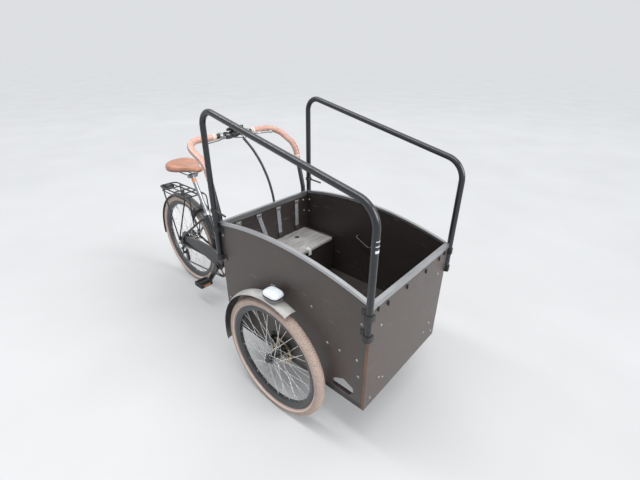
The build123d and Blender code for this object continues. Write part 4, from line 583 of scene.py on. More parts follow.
SPOKE = finish("spoke_steel", "spokes_silver", (0.80, 0.80, 0.79), 0.22, metal=0.85, vary=0.05, scale=60,
               rough_vary=0.06)

# Painted and coated metal
COAT = finish("black_powder_coat", "frame_black", (0.0075, 0.009, 0.0115), 0.34, vary=0.15, scale=30,
              rough_vary=0.08, bump=0.12, bump_scale=1800, coat=0.55, coat_rough=0.20, specular=0.35)
COAT_DULL = finish("black_coat_dull", "frame_black", (0.028, 0.028, 0.030), 0.55, vary=0.2, scale=30,
                   rough_vary=0.1, dust=0.12)
GUARD = finish("satin_guard", "guard_grey", (0.086, 0.082, 0.076), 0.42, vary=0.10, scale=14,
               rough_vary=0.08, bump=0.1, bump_scale=1500, dust=2.6, dust_colour=(0.60, 0.595, 0.575))
GUARD_DARK = finish("chain_guard_black", "guard_grey", (0.036, 0.036, 0.038), 0.40, vary=0.12, scale=18,
                    rough_vary=0.08, bump=0.1, bump_scale=1500, dust=0.35)
RIM = finish("black_rim", "rim_black", (0.045, 0.047, 0.051), 0.36, vary=0.1, scale=40, rough_vary=0.08)
HUB_BLACK = finish("hub_black", "rim_black", (0.022, 0.022, 0.024), 0.34, vary=0.12, scale=50,
                   rough_vary=0.08, coat=0.2)

# Rubber, leather and cloth
# The shade layer is painted shade in the tread's cut, the stripe a pale reflective stripe round each wall
TYRE = finish("tan_tyre", "tyre_tan", (0.372, 0.292, 0.25), 0.74, vary=0.12, scale=26, rough_vary=0.08,
              bump=0.25, bump_scale=700, specular=0.3,
              layers=(("shade", (0.26, 0.185, 0.15)), ("stripe", (0.70, 0.56, 0.50))))
RUBBER = finish("cable_rubber", "cable_black", (0.020, 0.020, 0.021), 0.60, vary=0.1, scale=80,
                rough_vary=0.08)
# The shade layer is painted shade in the wrap's crease and darker towards the ends, the stitch layer the
# stitches and whipping
GRIP = finish("wrapped_grip", "grip_brown", (0.43, 0.245, 0.195), 0.48, vary=0.14, scale=60,
              rough_vary=0.1, bump=0.35, bump_scale=900, coat=0.2,
              layers=(("shade", (0.15, 0.070, 0.050)), ("stitch", (0.74, 0.62, 0.55))))
LEATHER = leather()
WEBBING = webbing()

# Plastic, lamps and reflectors
PLASTIC = finish("matt_plastic", "plastic_black", (0.022, 0.022, 0.023), 0.50, vary=0.1, scale=50,
                 rough_vary=0.08, bump=0.2, bump_scale=2200)
PALE_PLASTIC = finish("display_face", "lamp_clear", (0.42, 0.39, 0.34), 0.30, vary=0.05, scale=90,
                      rough_vary=0.06, coat=0.4)
GLOSS_BLACK = finish("lamp_black", "lamp_black", (0.012, 0.012, 0.013), 0.20, vary=0.1, scale=30,
                     rough_vary=0.05, foot=(0.650, (0.15, 0.148, 0.142)))
LAMP_WHITE = finish("lamp_white", "lamp_clear", (0.64, 0.68, 0.73), 0.16, vary=0.08, scale=45,
                    rough_vary=0.05, coat=0.6)
LAMP_RED = finish("lamp_red", "lamp_red", (0.020, 0.018, 0.018), 0.18, vary=0.08, scale=60,
                  rough_vary=0.04, coat=0.6, backs=(0.42, 0.012, 0.010))
AMBER = finish("reflector_amber", "lamp_red", (0.62, 0.21, 0.05), 0.28, vary=0.1, scale=200,
               rough_vary=0.05, bump=0.6, bump_scale=500, coat=0.5)
MARK = finish("reflective_mark", "lamp_clear", (0.55, 0.56, 0.57), 0.40, vary=0.06, scale=200,
              rough_vary=0.06)

FINISHED_NODES = (
    (BOARD, "box_side_right box_side_left box_front box_rear box_floor bench_riser bench_cleats"),
    (BENCH, "bench_seat"),
    (ALUMINIUM, "side_trims end_trims"),
    (LEVER, "brake_levers"),
    (POST, "seat_post"),
    (STEEL, "kingpin rear_axle seat_collar"),
    (DARK_STEEL, "chain rear_sprocket chainring"),
    (ROTOR, "front_brake_rotor_right front_brake_rotor_left"),
    (SPOKE, "front_spoked_hub_right front_spoked_hub_left rear_spoked_hub"),
    (COAT, "rear_frame rack crank_set canopy_rails handlebar handlebar_clamps brake_calipers derailleur"),
    (COAT_DULL, "subframe stub_axles side_handles"),
    (GUARD, "front_mudguards"),
    (GUARD_DARK, "rear_mudguard chain_guard"),
    (RIM, "front_rim_right front_rim_left rear_rim"),
    (TYRE, "front_tyre_right front_tyre_left rear_tyre"),
    (RUBBER, "cable_sleeve control_cables"),
    (GRIP, "grips"),
    (LEATHER, "saddle"),
    (WEBBING, "seat_belts"),
    (PLASTIC, "rail_clamps display_and_shifter cable_gland pedal_right pedal_left turn_studs "
              "battery_case ring_lock"),
    (GLOSS_BLACK, "headlamp_housings"),
    (LAMP_WHITE, "headlamp_caps"),
    (LAMP_RED, "tail_lamp"),
)
for made, nodes in FINISHED_NODES:
    for node in nodes.split():
        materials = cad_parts[node].data.materials
        materials.clear()
        materials.append(made)


# Tyres: heights are over the rim's bead
TYRE_HEIGHT = 0.050
BEAD_HALF_WIDTH = 0.0134
BEAD_GAP = 0.0003
LIP_RISE = 0.0093
WALL_BULGE = 0.0045
TREAD_PITCH = 0.0125
COLUMNS_PER_PITCH = 8
TREAD_DEPTH = 0.0016
# How far above the tyre's widest place the cut may begin, and its depth there as a share of the middle's
CROWN_START = 0.004
SIDE_SHARE = 0.4
# How far the cut draws the shoulders inwards, as a share of its depth
DRAWN_IN = 0.5
# Out from the crown's middle, in shares of half the width: where the tread ends, and how fast it fades
TREAD_END, TREAD_FADE = 0.90, 0.06
# How far round a groove slants from the middle to the side, and its width, in pitches
SLANT, SLANT_WIDTH = 0.9, 0.15
COUNTER_SLANT, COUNTER_WIDTH = 0.7, 0.08
# Where the two grooves that run round lie, their widths in pitches, and half the tyre's width in pitches
ROUND_GROOVES = ((0.22, 0.055), (0.60, 0.05))
PITCHES_ACROSS = 2.2
# The stripe round each wall: its height, half its width, and how far out from the middle it may lie
STRIPE_RISE, STRIPE_T, STRIPE_FROM = 0.0165, 0.0016, 0.6
# How much of their colours the cut's painted shade and the stripe have
CUT_SHADE, STRIPE_SHADE = 0.5, 0.7


def tyre_section(outer_r):
    """A tyre's section as (across, radius) points: a half circle, walls bulged by a sine, a flat base."""
    half = TYRE_WIDTH / 2
    bead, side_r = outer_r - TYRE_HEIGHT, outer_r - half
    crown = np.linspace(-math.pi / 2, math.pi / 2, 33)
    arc = np.stack([half * np.sin(crown), side_r + half * np.cos(crown)], -1)
    share = np.linspace(0, 1, 9)[:-1]
    lip, widest = np.array([BEAD_HALF_WIDTH, bead + LIP_RISE]), np.array([half, side_r])
    wall = lip + (widest - lip) * share[:, None]
    wall[:, 0] += WALL_BULGE * np.sin(share * math.pi)
    base = [[BEAD_HALF_WIDTH, bead + BEAD_GAP], [-BEAD_HALF_WIDTH, bead + BEAD_GAP]]
    return np.concatenate([wall * [-1, 1], arc, wall[::-1], base])


def groove(distance, width):
    """1 up to half a groove's width from its middle, then less, down to 0 at one and a half widths."""
    return np.clip(1.5 - distance / width, 0, 1)


def to_whole(value):
    """The distance to the nearest whole number."""
    return np.abs((value + 0.5) % 1 - 0.5)


def tread(along, across):
    """The cut of the tread, 0 to 1, by the run in pitches and the way out from the crown's middle: slanting
    grooves, half as many against them past the first of the two that run round."""
    slant = groove(to_whole(along + SLANT * across), SLANT_WIDTH)
    counter = groove(to_whole(along * 0.5 - COUNTER_SLANT * across), COUNTER_WIDTH)
    counter *= across > ROUND_GROOVES[0][0]
    rounds = [groove(np.abs(across - place) * PITCHES_ACROSS, width) + 0 * along
              for place, width in ROUND_GROOVES]
    return np.maximum.reduce([slant, counter, *rounds])


def tyre(centre, outer_r, name, body, node):
    """A tyre's skin: its section turned about the axle, with blocks cut into the crown. Radius = section
    radius minus the tread's cut, deepest in the middle, and the cut also draws the shoulders inwards."""
    pitches = round(2 * math.pi * outer_r / TREAD_PITCH)
    along = (np.arange(pitches * COLUMNS_PER_PITCH) / COLUMNS_PER_PITCH)[:, None]
    section = tyre_section(outer_r)
    s = section[:, 0] / (TYRE_WIDTH / 2)
    on_crown = section[:, 1] > outer_r - TYRE_WIDTH / 2 + CROWN_START
    edge = np.clip((TREAD_END - np.abs(s)) / TREAD_FADE, 0, 1) * on_crown
    cut = tread(along, np.abs(s)[None]) * edge
    depth = SIDE_SHARE + (1 - SIDE_SHARE) * np.cos(np.arcsin(np.clip(s, -1, 1)))
    radius = section[:, 1] - TREAD_DEPTH * cut * depth
    y = section[:, 0] - TREAD_DEPTH * DRAWN_IN * cut * s
    angle = 2 * np.pi * along / pitches
    points = np.stack([radius * np.cos(angle), y, radius * np.sin(angle)], -1) + np.array(centre)
    rise = section[:, 1] - (outer_r - TYRE_HEIGHT)
    stripe = np.clip(2 - np.abs(rise - STRIPE_RISE) / STRIPE_T, 0, 1) * (np.abs(s) > STRIPE_FROM)
    # The cut's painted shade goes in the shade layer
    piece(name, [rings(points, wrap_rows=True)], TYRE, body, [node],
          {"shade": cut * CUT_SHADE, "stripe": stripe * STRIPE_SHADE + 0 * along})


# Spokes and hubs: the frame's lacing, with nipples at the rim and a valve
SPOKES_A_SIDE = 18
CROSS_ANGLE = 60.0
# A flange's radius and its distance from the wheel's middle
FRONT_FLANGE = (0.026, 0.024)
REAR_FLANGE = (0.064, 0.027)
FLANGE_T = 0.005
SPOKE_OFFSET = FLANGE_T * 0.42
RIM_DEPTH = 0.018
NIPPLE_GAP = 0.0006
NIPPLE_OFFSET = 0.003
NIPPLE_LENGTH = 0.011
SPOKE_R = 0.0011
SPOKE_SHOWN_R = SPOKE_R * 1.15
HEAD_R = SPOKE_R * 1.9
HEAD_REACH = 0.0034
VALVE_ANGLE = 2.1
# (along, radius) of the valve in mm, from the rim inwards
VALVE = ((0, 4), (4, 4), (5, 3), (26, 3), (27, 2.2), (33, 2.2), (33.5, 1))
# (across, radius) of the hub shells in mm. On the front wheels + is towards the box, on the rear one to
# the left.
FRONT_HUB = ((-34, 8.2), (-34, 11.5), (-33, 13), (-26.5, 15), (-26.5, 28), (-25.5, 29), (-22.5, 29),
             (-21.5, 28), (-21.5, 19), (-18, 17), (-6, 15.6), (6, 15.6), (18, 17), (21.5, 19), (21.5, 28),
             (22.5, 29), (25.5, 29), (26.5, 28), (26.5, 22), (43.5, 22), (44, 21.4), (44, 15), (48, 15),
             (48, 8.2))
REAR_HUB = ((-60, 6.2), (-60, 17.9), (-37, 17.9), (-37, 23), (-34, 24), (-34, 52), (-32, 54), (-29.5, 60),
            (-29.5, 66), (-28.5, 67), (-25.5, 67), (-24.5, 66), (-24.5, 60), (24.5, 60), (24.5, 66),
            (25.5, 67), (28.5, 67), (29.5, 66), (29.5, 60), (32, 54), (34, 52), (34, 24), (60, 18),
            (60, 6.2))


def lacing(flange_r, flange_y, rim_r):
    """Both ends of each spoke about the wheel's centre. On each flange they leave by turns forwards and
    backwards, so a spoke's rim end is its hole's angle plus or minus the crossing angle."""
    side, i = [a.ravel() for a in np.meshgrid([-1, 1], np.arange(SPOKES_A_SIDE), indexing="ij")]
    step = 360 / SPOKES_A_SIDE
    lean = np.where(i % 2, 1, -1)
    hole = np.radians(i * step + side * step / 4)
    end = hole + lean * np.radians(CROSS_ANGLE)
    y = side * flange_y + lean * SPOKE_OFFSET
    start = np.stack([flange_r * np.cos(hole), y, flange_r * np.sin(hole)], -1)
    stop = np.stack([rim_r * np.cos(end), side * NIPPLE_OFFSET, rim_r * np.sin(end)], -1)
    return start, stop


def wheel_detail(centre, bead_r, flange_r, flange_y, hub_profile, label, body, node):
    """A wheel's spokes with their heads, its nipples and valve, and its hub shell."""
    centre = np.array(centre)
    start, stop = lacing(flange_r, flange_y, bead_r - RIM_DEPTH - NIPPLE_GAP)
    run = (stop - start) / np.linalg.norm(stop - start, axis=1)[:, None]
    reach = np.sign(start[:, 1:2]) * [[0.0, HEAD_REACH, 0.0]]
    heads = rods(start + centre - reach, start + centre + reach, HEAD_R)
    piece(f"spokes_{label}", [rods(start + centre, stop + centre, SPOKE_SHOWN_R), heads], SPOKE, body)
    nipples = rods(stop + centre - run * NIPPLE_LENGTH, stop + centre, HEAD_R, 6)
    valve_way = np.array([math.cos(VALVE_ANGLE), 0.0, math.sin(VALVE_ANGLE)])
    valve = lathe(np.array(VALVE) / 1000, 12, centre + valve_way * (bead_r - RIM_DEPTH), -valve_way)
    piece(f"nipples_{label}", [nipples, valve], STEEL, body)
    hub = lathe(hub_profile, 40, centre, (0, 1, 0), closed=True)
    piece(f"hub_{label}", [hub], HUB_BLACK, body, [node])


# Brake rotors in polar cells: rings by their radii in mm from the bore out, and columns round
ROTOR_COLUMNS = 180
ROTOR_ARMS = 6
ROTOR_RADII = (15.2, 19, 26, 32, 38, 44, 50, 57, 59, 61.3, 63.5, 65.7, 68, 70)
ROTOR_T = 0.0019
ROTOR_ACROSS = 0.045
FIRST_ARM_RING, LAST_ARM_RING = 2, 6
ARM_COLUMNS, ARM_SWEEP = 6, 2
BOLT_RING, BOLT_COLUMNS = 1, 3
# The ring of each row of holes, and by how many columns it is staggered
HOLE_ROWS = ((8, 0), (10, 4))
HOLE_PITCH, HOLE_COLUMNS = 9, 3


def rotor(centre, name, body, node):
    """A brake rotor: a slotted band on six swept arms. A cell of the arms' rings is kept where its column,
    less the ring's sweep, falls on an arm, and the band loses two staggered rows of holes."""
    ring, column = np.meshgrid(np.arange(len(ROTOR_RADII) - 1), np.arange(ROTOR_COLUMNS), indexing="ij")
    pitch = ROTOR_COLUMNS // ROTOR_ARMS
    keep = (column + ARM_SWEEP * ring) % pitch < ARM_COLUMNS
    keep |= (ring < FIRST_ARM_RING) | (ring > LAST_ARM_RING)
    keep &= (ring != BOLT_RING) | (column % pitch >= BOLT_COLUMNS)
    for row, stagger in HOLE_ROWS:
        keep &= (ring != row) | ((column + stagger) % HOLE_PITCH >= HOLE_COLUMNS)
    disc = cut_disc(np.array(ROTOR_RADII) / 1000, keep, ROTOR_T)
    piece(name, [shifted(disc, centre)], ROTOR, body, [node])


for side, sign in SIDES:
    hub_middle = (AXLE_X, sign * HALF_TRACK, FRONT_TYRE_R)
    carried = f"front_wheel_{side}"
    tyre(hub_middle, FRONT_TYRE_R, f"tyre_tread_{side}", carried, f"front_tyre_{side}")
    shell = np.array(FRONT_HUB) / 1000 * [-sign, 1]
    wheel_detail(hub_middle, FRONT_TYRE_R - TYRE_HEIGHT, *FRONT_FLANGE, shell, f"front_{side}", carried,
                 f"front_spoked_hub_{side}")
    rotor((AXLE_X, sign * (HALF_TRACK - ROTOR_ACROSS), FRONT_TYRE_R), f"rotor_{side}", carried,
          f"front_brake_rotor_{side}")
rear_middle = (REAR_X, 0, REAR_TYRE_R)
tyre(rear_middle, REAR_TYRE_R, "tyre_tread_rear", "rear_wheel", "rear_tyre")
wheel_detail(rear_middle, REAR_TYRE_R - TYRE_HEIGHT, *REAR_FLANGE, np.array(REAR_HUB) / 1000, "rear",
             "rear_wheel", "rear_spoked_hub")


# Bolt heads on the panels
BOLT_R = 0.0048
# Height, and radius as a share of the head's, of the washer, the dome and the socket
BOLT_PROFILE = ((0, 1.35), (0.0008, 1.35), (0.0010, 1), (0.0022, 0.93), (0.0036, 0.62), (0.0040, 0.42),
                (0.0024, 0.38))


def bolt(place, axis, radius=BOLT_R):
    """A low domed bolt head on a thin washer, with a shallow socket: its profile turned about its axis."""
    return lathe(np.array(BOLT_PROFILE) * [1, radius], 20, place, axis)


# x from the front axle and z of the bolts through each side panel
SIDE_BOLTS = ((0.266, 0.505), (0.328, 0.503), (0.412, 0.505), (0.423, 0.426), (0.423, 0.683),
              (-0.385, 0.415), (-0.385, 0.640), (-0.385, 0.770), (-0.210, 0.520), (-0.120, 0.395),
              (0.120, 0.395), (0.180, 0.640))
# y and z of the bolts through the front panel
FRONT_BOLTS = ((-0.210, 0.372), (-0.180, 0.350), (-0.265, 0.303), (0.229, 0.379), (0.270, 0.303),
               (-0.233, 0.656), (0.233, 0.656), (0.180, 0.350))
# x and z inside each side panel, y and z inside the rear panel
INNER_SIDE_BOLTS = ((-0.383, 0.782), (-0.386, 0.711), (0.420, 0.740), (0.420, 0.560))
INNER_REAR_BOLTS = ((0.257, 0.786), (0.262, 0.721))
INNER_Y = BOX_HALF_WIDTH - PANEL_T
REAR_FACE_X = BOX_REAR + PANEL_T
bolts = [bolt((at_x(x), way * BOX_HALF_WIDTH, z), (0, way, 0)) for x, z in SIDE_BOLTS for way in (-1, 1)]
bolts += [bolt((BOX_FRONT, y, z), (1, 0, 0)) for y, z in FRONT_BOLTS]
bolts += [bolt((at_x(x), way * INNER_Y, z), (0, -way, 0)) for x, z in INNER_SIDE_BOLTS for way in (-1, 1)]
bolts += [bolt((REAR_FACE_X, way * y, z), (1, 0, 0)) for y, z in INNER_REAR_BOLTS for way in (-1, 1)]
piece("panel_bolts", bolts, BOLT_STEEL, "front_carrier")

# The front panel's bare side edges
EDGE_T, EDGE_INSET = 0.0006, 0.001
EDGE_LOW, EDGE_HIGH = 0.264, 0.760
bare_edge = rounded_box((PANEL_T - EDGE_INSET, EDGE_T, EDGE_HIGH - EDGE_LOW), EDGE_T / 2)
edge_middle = (BOX_FRONT - PANEL_T / 2, -BOX_HALF_WIDTH, (EDGE_LOW + EDGE_HIGH) / 2)
piece("panel_edges", both_sides([shifted(bare_edge, edge_middle)]), PLY_EDGE, "front_carrier")


# Seat belts: webbing with its anchor plate and its buckle
# y of each belt's anchor, and how far its lower end leans along y
BELTS = ((-0.205, 0.0), (-0.077, 0.050), (0.059, 0.010), (0.199, 0.0))
BELT_WIDTH, BELT_T, BELT_BELLY = 0.025, 0.0016, 0.0016
ANCHOR, ANCHOR_CORNER = (0.0022, 0.034, 0.020), 0.0009
ANCHOR_BOLT_R = 0.0040
BUCKLE, BUCKLE_CORNER = (0.0075, 0.034, 0.028), 0.0032
BUTTON, BUTTON_CORNER, BUTTON_PLACE = (0.0016, 0.016, 0.012), 0.0007, (0.0034, 0, 0.002)
# How far the strap, plate, bolt and buckle lie off the panel
STRAP_OFF, PLATE_OFF, PLATE_BOLT_OFF, BUCKLE_OFF = 0.0022, 0.0050, 0.0060, 0.0042
# How far the strap's ends, the plate, its bolt and the buckle lie below the belts' top or above their foot
STRAP_DOWN, STRAP_UP, PLATE_DOWN, PLATE_BOLT_DOWN, BUCKLE_UP = 0.010, 0.012, 0.011, 0.008, 0.015
BUCKLE_LEAN = 0.97
STRAP_WEAR = 0.35
belt_low, belt_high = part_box("seat_belts")
BELT_FACE_X = belt_low.x
BELT_DROP = belt_high.z - belt_low.z


def belt(y, lean):
    """A strap that hangs from its anchor with a slight belly: by its share of the drop, x = face + belly
    share sin(2.5 pi share)^2, and y moves by as much of the lean."""
    share = np.linspace(0, 1, 40)
    z = belt_high.z - STRAP_DOWN - share * (BELT_DROP - STRAP_DOWN - STRAP_UP)
    x = BELT_FACE_X + STRAP_OFF + BELT_BELLY * np.sin(share * math.pi * 2.5) ** 2 * share
    return ribbon(np.stack([x, y + lean * share, z], -1), BELT_WIDTH, BELT_T)


def belt_anchor(y):
    """A belt's anchor plate with its bolt."""
    plate_middle = (BELT_FACE_X + PLATE_OFF, y, belt_high.z - PLATE_DOWN)
    bolt_foot = (BELT_FACE_X + PLATE_BOLT_OFF, y, belt_high.z - PLATE_BOLT_DOWN)
    return [shifted(rounded_box(ANCHOR, ANCHOR_CORNER), plate_middle),
            bolt(bolt_foot, (1, 0, 0), ANCHOR_BOLT_R)]


def belt_buckle(y, lean):
    """A belt's buckle with its button, turned with the belt."""
    tip = math.degrees(math.atan2(lean, BELT_DROP))
    middle = np.array((BELT_FACE_X + BUCKLE_OFF, y + lean * BUCKLE_LEAN, belt_low.z + BUCKLE_UP))
    return [shifted(turned(rounded_box(BUCKLE, BUCKLE_CORNER), tip, "X"), middle),
            shifted(turned(rounded_box(BUTTON, BUTTON_CORNER), tip, "X"), middle + BUTTON_PLACE)]


straps = [belt(y, lean) for y, lean in BELTS]
# The straps' edges are worn, at the first and the fifth of each ring's eight corners
worn = np.concatenate([STRAP_WEAR * (np.arange(len(points)) % 4 == 0) for points, _ in straps])
piece("belt_straps", straps, WEBBING, "front_carrier", ["seat_belts"], {"shade": worn})
piece("belt_anchors", [p for y, _ in BELTS for p in belt_anchor(y)], BOLT_STEEL, "front_carrier")
piece("belt_buckles", [p for y, lean in BELTS for p in belt_buckle(y, lean)], PLASTIC, "front_carrier")


# The bench lid's pull: a webbing tab screwed to its top, turned down over its front edge
bench_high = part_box("bench_seat")[1]
PULL_Y = 0.078
PULL_WIDTH, PULL_T, PULL_WEAR = 0.022, 0.0014, 0.7
# Ahead of the bench's front edge and above its top
PULL_LINE = ((-0.036, 0.0011), (-0.004, 0.0011), (0.0014, -0.003), (0.0016, -0.034))
PULL_BENDS = (0.003, 0.003)
PULL_SCREW, PULL_SCREW_R = (-0.028, 0.0016), 0.0038
pull_line = [(bench_high.x + x, PULL_Y, bench_high.z + z) for x, z in PULL_LINE]
pull = ribbon(spaced(bent(pull_line, PULL_BENDS, 6), 0.002)[0], PULL_WIDTH, PULL_T)
piece("bench_pull", [pull], WEBBING, "front_carrier", layers={"shade": np.full(len(pull[0]), PULL_WEAR)})
screw_foot = (bench_high.x + PULL_SCREW[0], PULL_Y, bench_high.z + PULL_SCREW[1])
pull_screw = bolt(screw_foot, (0, 0, 1), PULL_SCREW_R)
piece("bench_pull_screw", [pull_screw], BOLT_STEEL, "front_carrier")

# The bench lid's finger hole: a flat black disc, painted shade where the hole shows dark, in a thin
# turned rim, as (height, radius) in mm
HOLE_PLACE = (at_x(-0.335), 0.137, bench_high.z)
HOLE_PROFILE = ((0.3, 0.1), (0.3, 10.5), (1.0, 11.0), (1.0, 12.5), (0.3, 13.2), (-1, 13.2), (-1, 0.1))
rim_and_hole_shade = lathe(np.array(HOLE_PROFILE) / 1000, 40, HOLE_PLACE)
piece("bench_finger_hole", [rim_and_hole_shade], HUB_BLACK, "front_carrier")


# Grips: a wrapped leather sleeve round both bends of the bar
BAR_Y = BOX_HALF_WIDTH - 0.020
# x from the front axle, y and z
GRIP_CORNERS = ((-0.46455, -BAR_Y, 1.0131), (-0.482, -BAR_Y, 1.085), (-0.645, -BAR_Y, 1.162),
                (-0.645, -0.112, 1.162))
GRIP_BENDS = (0.095, 0.078)
GRIP_R = 0.0158
GRIP_STEP, GRIP_SIDES = 0.0017, 28
# The wrap's pitch, its edge's height, and the share of a pitch that the crease's painted shade covers
WRAP, WRAP_EDGE, CREASE = 0.017, 0.0006, 0.12
# How far each end tapers, over what it rounds off, and over what it grows darker
END_TAPER, END_ROUND, END_SHADE = 0.0022, 0.004, 0.012
WHIPPING, WHIPPING_PITCH, THREAD = 0.020, 0.0045, 0.0020
# The stitches' place round the grip and their half width, in turns, and their pitch and length
STITCH_TURN, STITCH_WIDTH, STITCH_PITCH, STITCH = 0.5, 0.02, 0.006, 0.0038


def grip():
    """The right grip: radius = a base plus a saw-tooth of the run and the turn, so that the wrap's edge
    climbs as a spiral, with a stitched line along the inside and whipping at both ends."""
    corners = [(at_x(x), y, z) for x, y, z in GRIP_CORNERS]
    path, run = spaced(bent(corners, GRIP_BENDS, 24), GRIP_STEP)
    turn = np.arange(GRIP_SIDES) / GRIP_SIDES
    climb = (run[:, None] / WRAP + turn) % 1
    from_end = np.minimum(run, run[-1] - run)[:, None]
    radius = GRIP_R + WRAP_EDGE * climb - END_TAPER * np.clip(1 - from_end / END_ROUND, 0, 1) ** 2
    # Painted shade in the crease under the wrap's edge, and darker towards each end
    shade = np.clip(1 - climb / CREASE, 0, 1) + np.clip(1 - from_end / END_SHADE, 0, 1)
    dashes = (np.abs(turn - STITCH_TURN) < STITCH_WIDTH) & (run[:, None] % STITCH_PITCH < STITCH)
    whipping = (from_end < WHIPPING) & (from_end % WHIPPING_PITCH < THREAD)
    return tube(path, radius, GRIP_SIDES), np.clip(shade, 0, 1), np.clip(dashes + whipping, 0, 1)


sleeve, grip_shade, stitches = grip()
piece("wrapped_grips", both_sides([sleeve]), GRIP, "front_carrier", ["grips"],
      {"shade": np.concatenate([grip_shade.ravel()] * 2), "stitch": np.concatenate([stitches.ravel()] * 2)})


# Saddle
SADDLE_X = at_x(-1.160)
# x from the saddle's middle, half width, underside z, top z
SADDLE_SECTIONS = np.array((
    (-0.1355, 0.052, 0.868, 0.906), (-0.128, 0.074, 0.856, 0.915), (-0.094, 0.1035, 0.8475, 0.9215),
    (-0.055, 0.102, 0.851, 0.9185), (-0.018, 0.089, 0.857, 0.9135), (0.025, 0.061, 0.864, 0.9115),
    (0.066, 0.0385, 0.871, 0.9105), (0.105, 0.0265, 0.8765, 0.9085), (0.130, 0.0185, 0.8805, 0.9045),
    (0.1355, 0.0100, 0.8855, 0.8990),
))
SADDLE_ROWS, SADDLE_COLS = 96, 96
# The hollow along the top: its depth, its width's share, and where it starts and ends, with its fade
HOLLOW, HOLLOW_SHARE = 0.0045, 0.42
HOLLOW_REAR, HOLLOW_FRONT, HOLLOW_FADE = -0.115, 0.09, 0.05
# The piping seam, the stitches and the skirt, by their height in the section from -1 to 1 and their width
# there
SEAM, SEAM_WIDTH, SEAM_RISE = -0.16, 0.075, 0.0012
STITCHES, STITCHES_WIDTH, STITCH_WAVE = 0.10, 0.030, 0.0019
SKIRT, SKIRT_FADE = -0.35, 0.1
ACROSS_POWER, UPPER_POWER, LOWER_POWER = 0.80, 0.78, 0.70
# How much of the dark colour the seam and the skirt's painted shade have, how much of its colour a stitch
# has, and past what the wave along x and the row's nearness make a stitch
SEAM_SHADE, SKIRT_SHADE, STITCH_SHADE = 0.8, 0.95, 0.9
WAVE_SHOWS, ROW_SHOWS = -0.2, 0.45


def saddle():
    """The saddle's padded cover: each ring is a rounded section, y = a cos^0.80, z = middle + h sin^0.78
    above and h sin^0.70 below (signs kept), whose sizes run smoothly from section to section, less a hollow
    along the top. A piping seam stands out, as dark as the painted shade on the skirt under it, with a row
    of stitches above."""
    share = np.linspace(0, 1, SADDLE_ROWS)
    rear, front = SADDLE_SECTIONS[[0, -1], 0]
    x = rear + (front - rear) * (0.5 - 0.5 * np.cos(share * math.pi))
    half, low, high = [smooth_between(x, *SADDLE_SECTIONS[:, [0, k]].T)[:, None] for k in (1, 2, 3)]
    x = x[:, None]
    turn = np.linspace(0, 2 * np.pi, SADDLE_COLS, endpoint=False)[None]
    c, s = np.cos(turn), np.sin(turn)
    y = half * bowed(c, ACROSS_POWER)
    z = (high + low) / 2 + (high - low) / 2 * bowed(s, np.where(s > 0, UPPER_POWER, LOWER_POWER))
    inside = np.clip(1 - np.abs(y) / (half * HOLLOW_SHARE), 0, 1)
    hollow = HOLLOW * inside ** 2 * (s > 0)
    for from_end in (x - HOLLOW_REAR, HOLLOW_FRONT - x):
        hollow = hollow * np.clip(from_end / HOLLOW_FADE, 0, 1)
    z -= hollow
    seam = np.exp(-((s - SEAM) / SEAM_WIDTH) ** 2)
    y += SEAM_RISE * seam * np.sign(c)
    # Painted shade darkens the skirt, the lower part of each ring
    under = np.clip((SKIRT - s) / SKIRT_FADE, 0, 1)
    above = np.exp(-((s - STITCHES) / STITCHES_WIDTH) ** 2)
    dashes = (np.sin(x / STITCH_WAVE) > WAVE_SHOWS) & (above > ROW_SHOWS)
    points = np.stack([x + SADDLE_X + 0 * y, y, z], -1)
    shade = np.clip(SEAM_SHADE * seam + SKIRT_SHADE * under + 0 * y, 0, 1)
    made = piece("saddle_cover", [rings(points)], LEATHER, "rear_frame", ["saddle"],
                 {"shade": shade, "stitch": dashes * STITCH_SHADE})


saddle()

# The reflective band round the seat post, from how far up the seat tube's line it starts
SEAT_TUBE_FOOT = np.array((at_x(-1.022), 0, 0.613))
SEAT_TILT = np.array((-0.152, 0, 0.321)) / math.hypot(0.152, 0.321)
BAND_UP, BAND_LENGTH, BAND_R = 0.205, 0.024, 0.0141
band_foot = SEAT_TUBE_FOOT + SEAT_TILT * BAND_UP
post_band = tube([band_foot, band_foot + SEAT_TILT * BAND_LENGTH], BAND_R, 24)
piece("post_band", [post_band], AMBER, "rear_frame")


# Headlamps: a clear rounded cap on a dark body, on a foot on the mudguard
lamp_low, lamp_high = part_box("headlamp_caps")
LAMP_SPLIT_Z, CAP_LIFT = 0.655, 0.0012
LAMP_HALF = np.array(((lamp_high.x - lamp_low.x) / 2 + 0.003, 0.033))
LAMP_MIDDLE = np.array((lamp_low.x + LAMP_HALF[0], lamp_high.y - LAMP_HALF[1], LAMP_SPLIT_Z))
# How high the cap, its band and the body rise, the power that squares each, and how far two of them stand
# out past the cap
CAP_RISE, BAND_RISE, BODY_RISE = 0.0215, 0.0030, -0.0245
CAP_POWER, BAND_POWER, BODY_POWER = 2.6, 6.0, 3.6
BAND_OUT, BODY_OUT = 0.0012, 0.0006
FOOT, FOOT_CORNER, FOOT_Z = (0.050, 0.040, 0.010), 0.004, 0.6315
cap = dome(LAMP_MIDDLE + (0, 0, CAP_LIFT), LAMP_HALF, CAP_RISE, CAP_POWER)
band = dome(LAMP_MIDDLE, LAMP_HALF + BAND_OUT, BAND_RISE, BAND_POWER, rows=8)
lamp_body = dome(LAMP_MIDDLE, LAMP_HALF + BODY_OUT, BODY_RISE, BODY_POWER)
foot = shifted(rounded_box(FOOT, FOOT_CORNER), (AXLE_X, LAMP_MIDDLE[1], FOOT_Z))
piece("headlamp_covers", both_sides([cap]), LAMP_WHITE, "front_carrier", ["headlamp_caps"])
piece("headlamp_bodies", both_sides([band, lamp_body, foot]), GLOSS_BLACK, "front_carrier",
      ["headlamp_housings"])


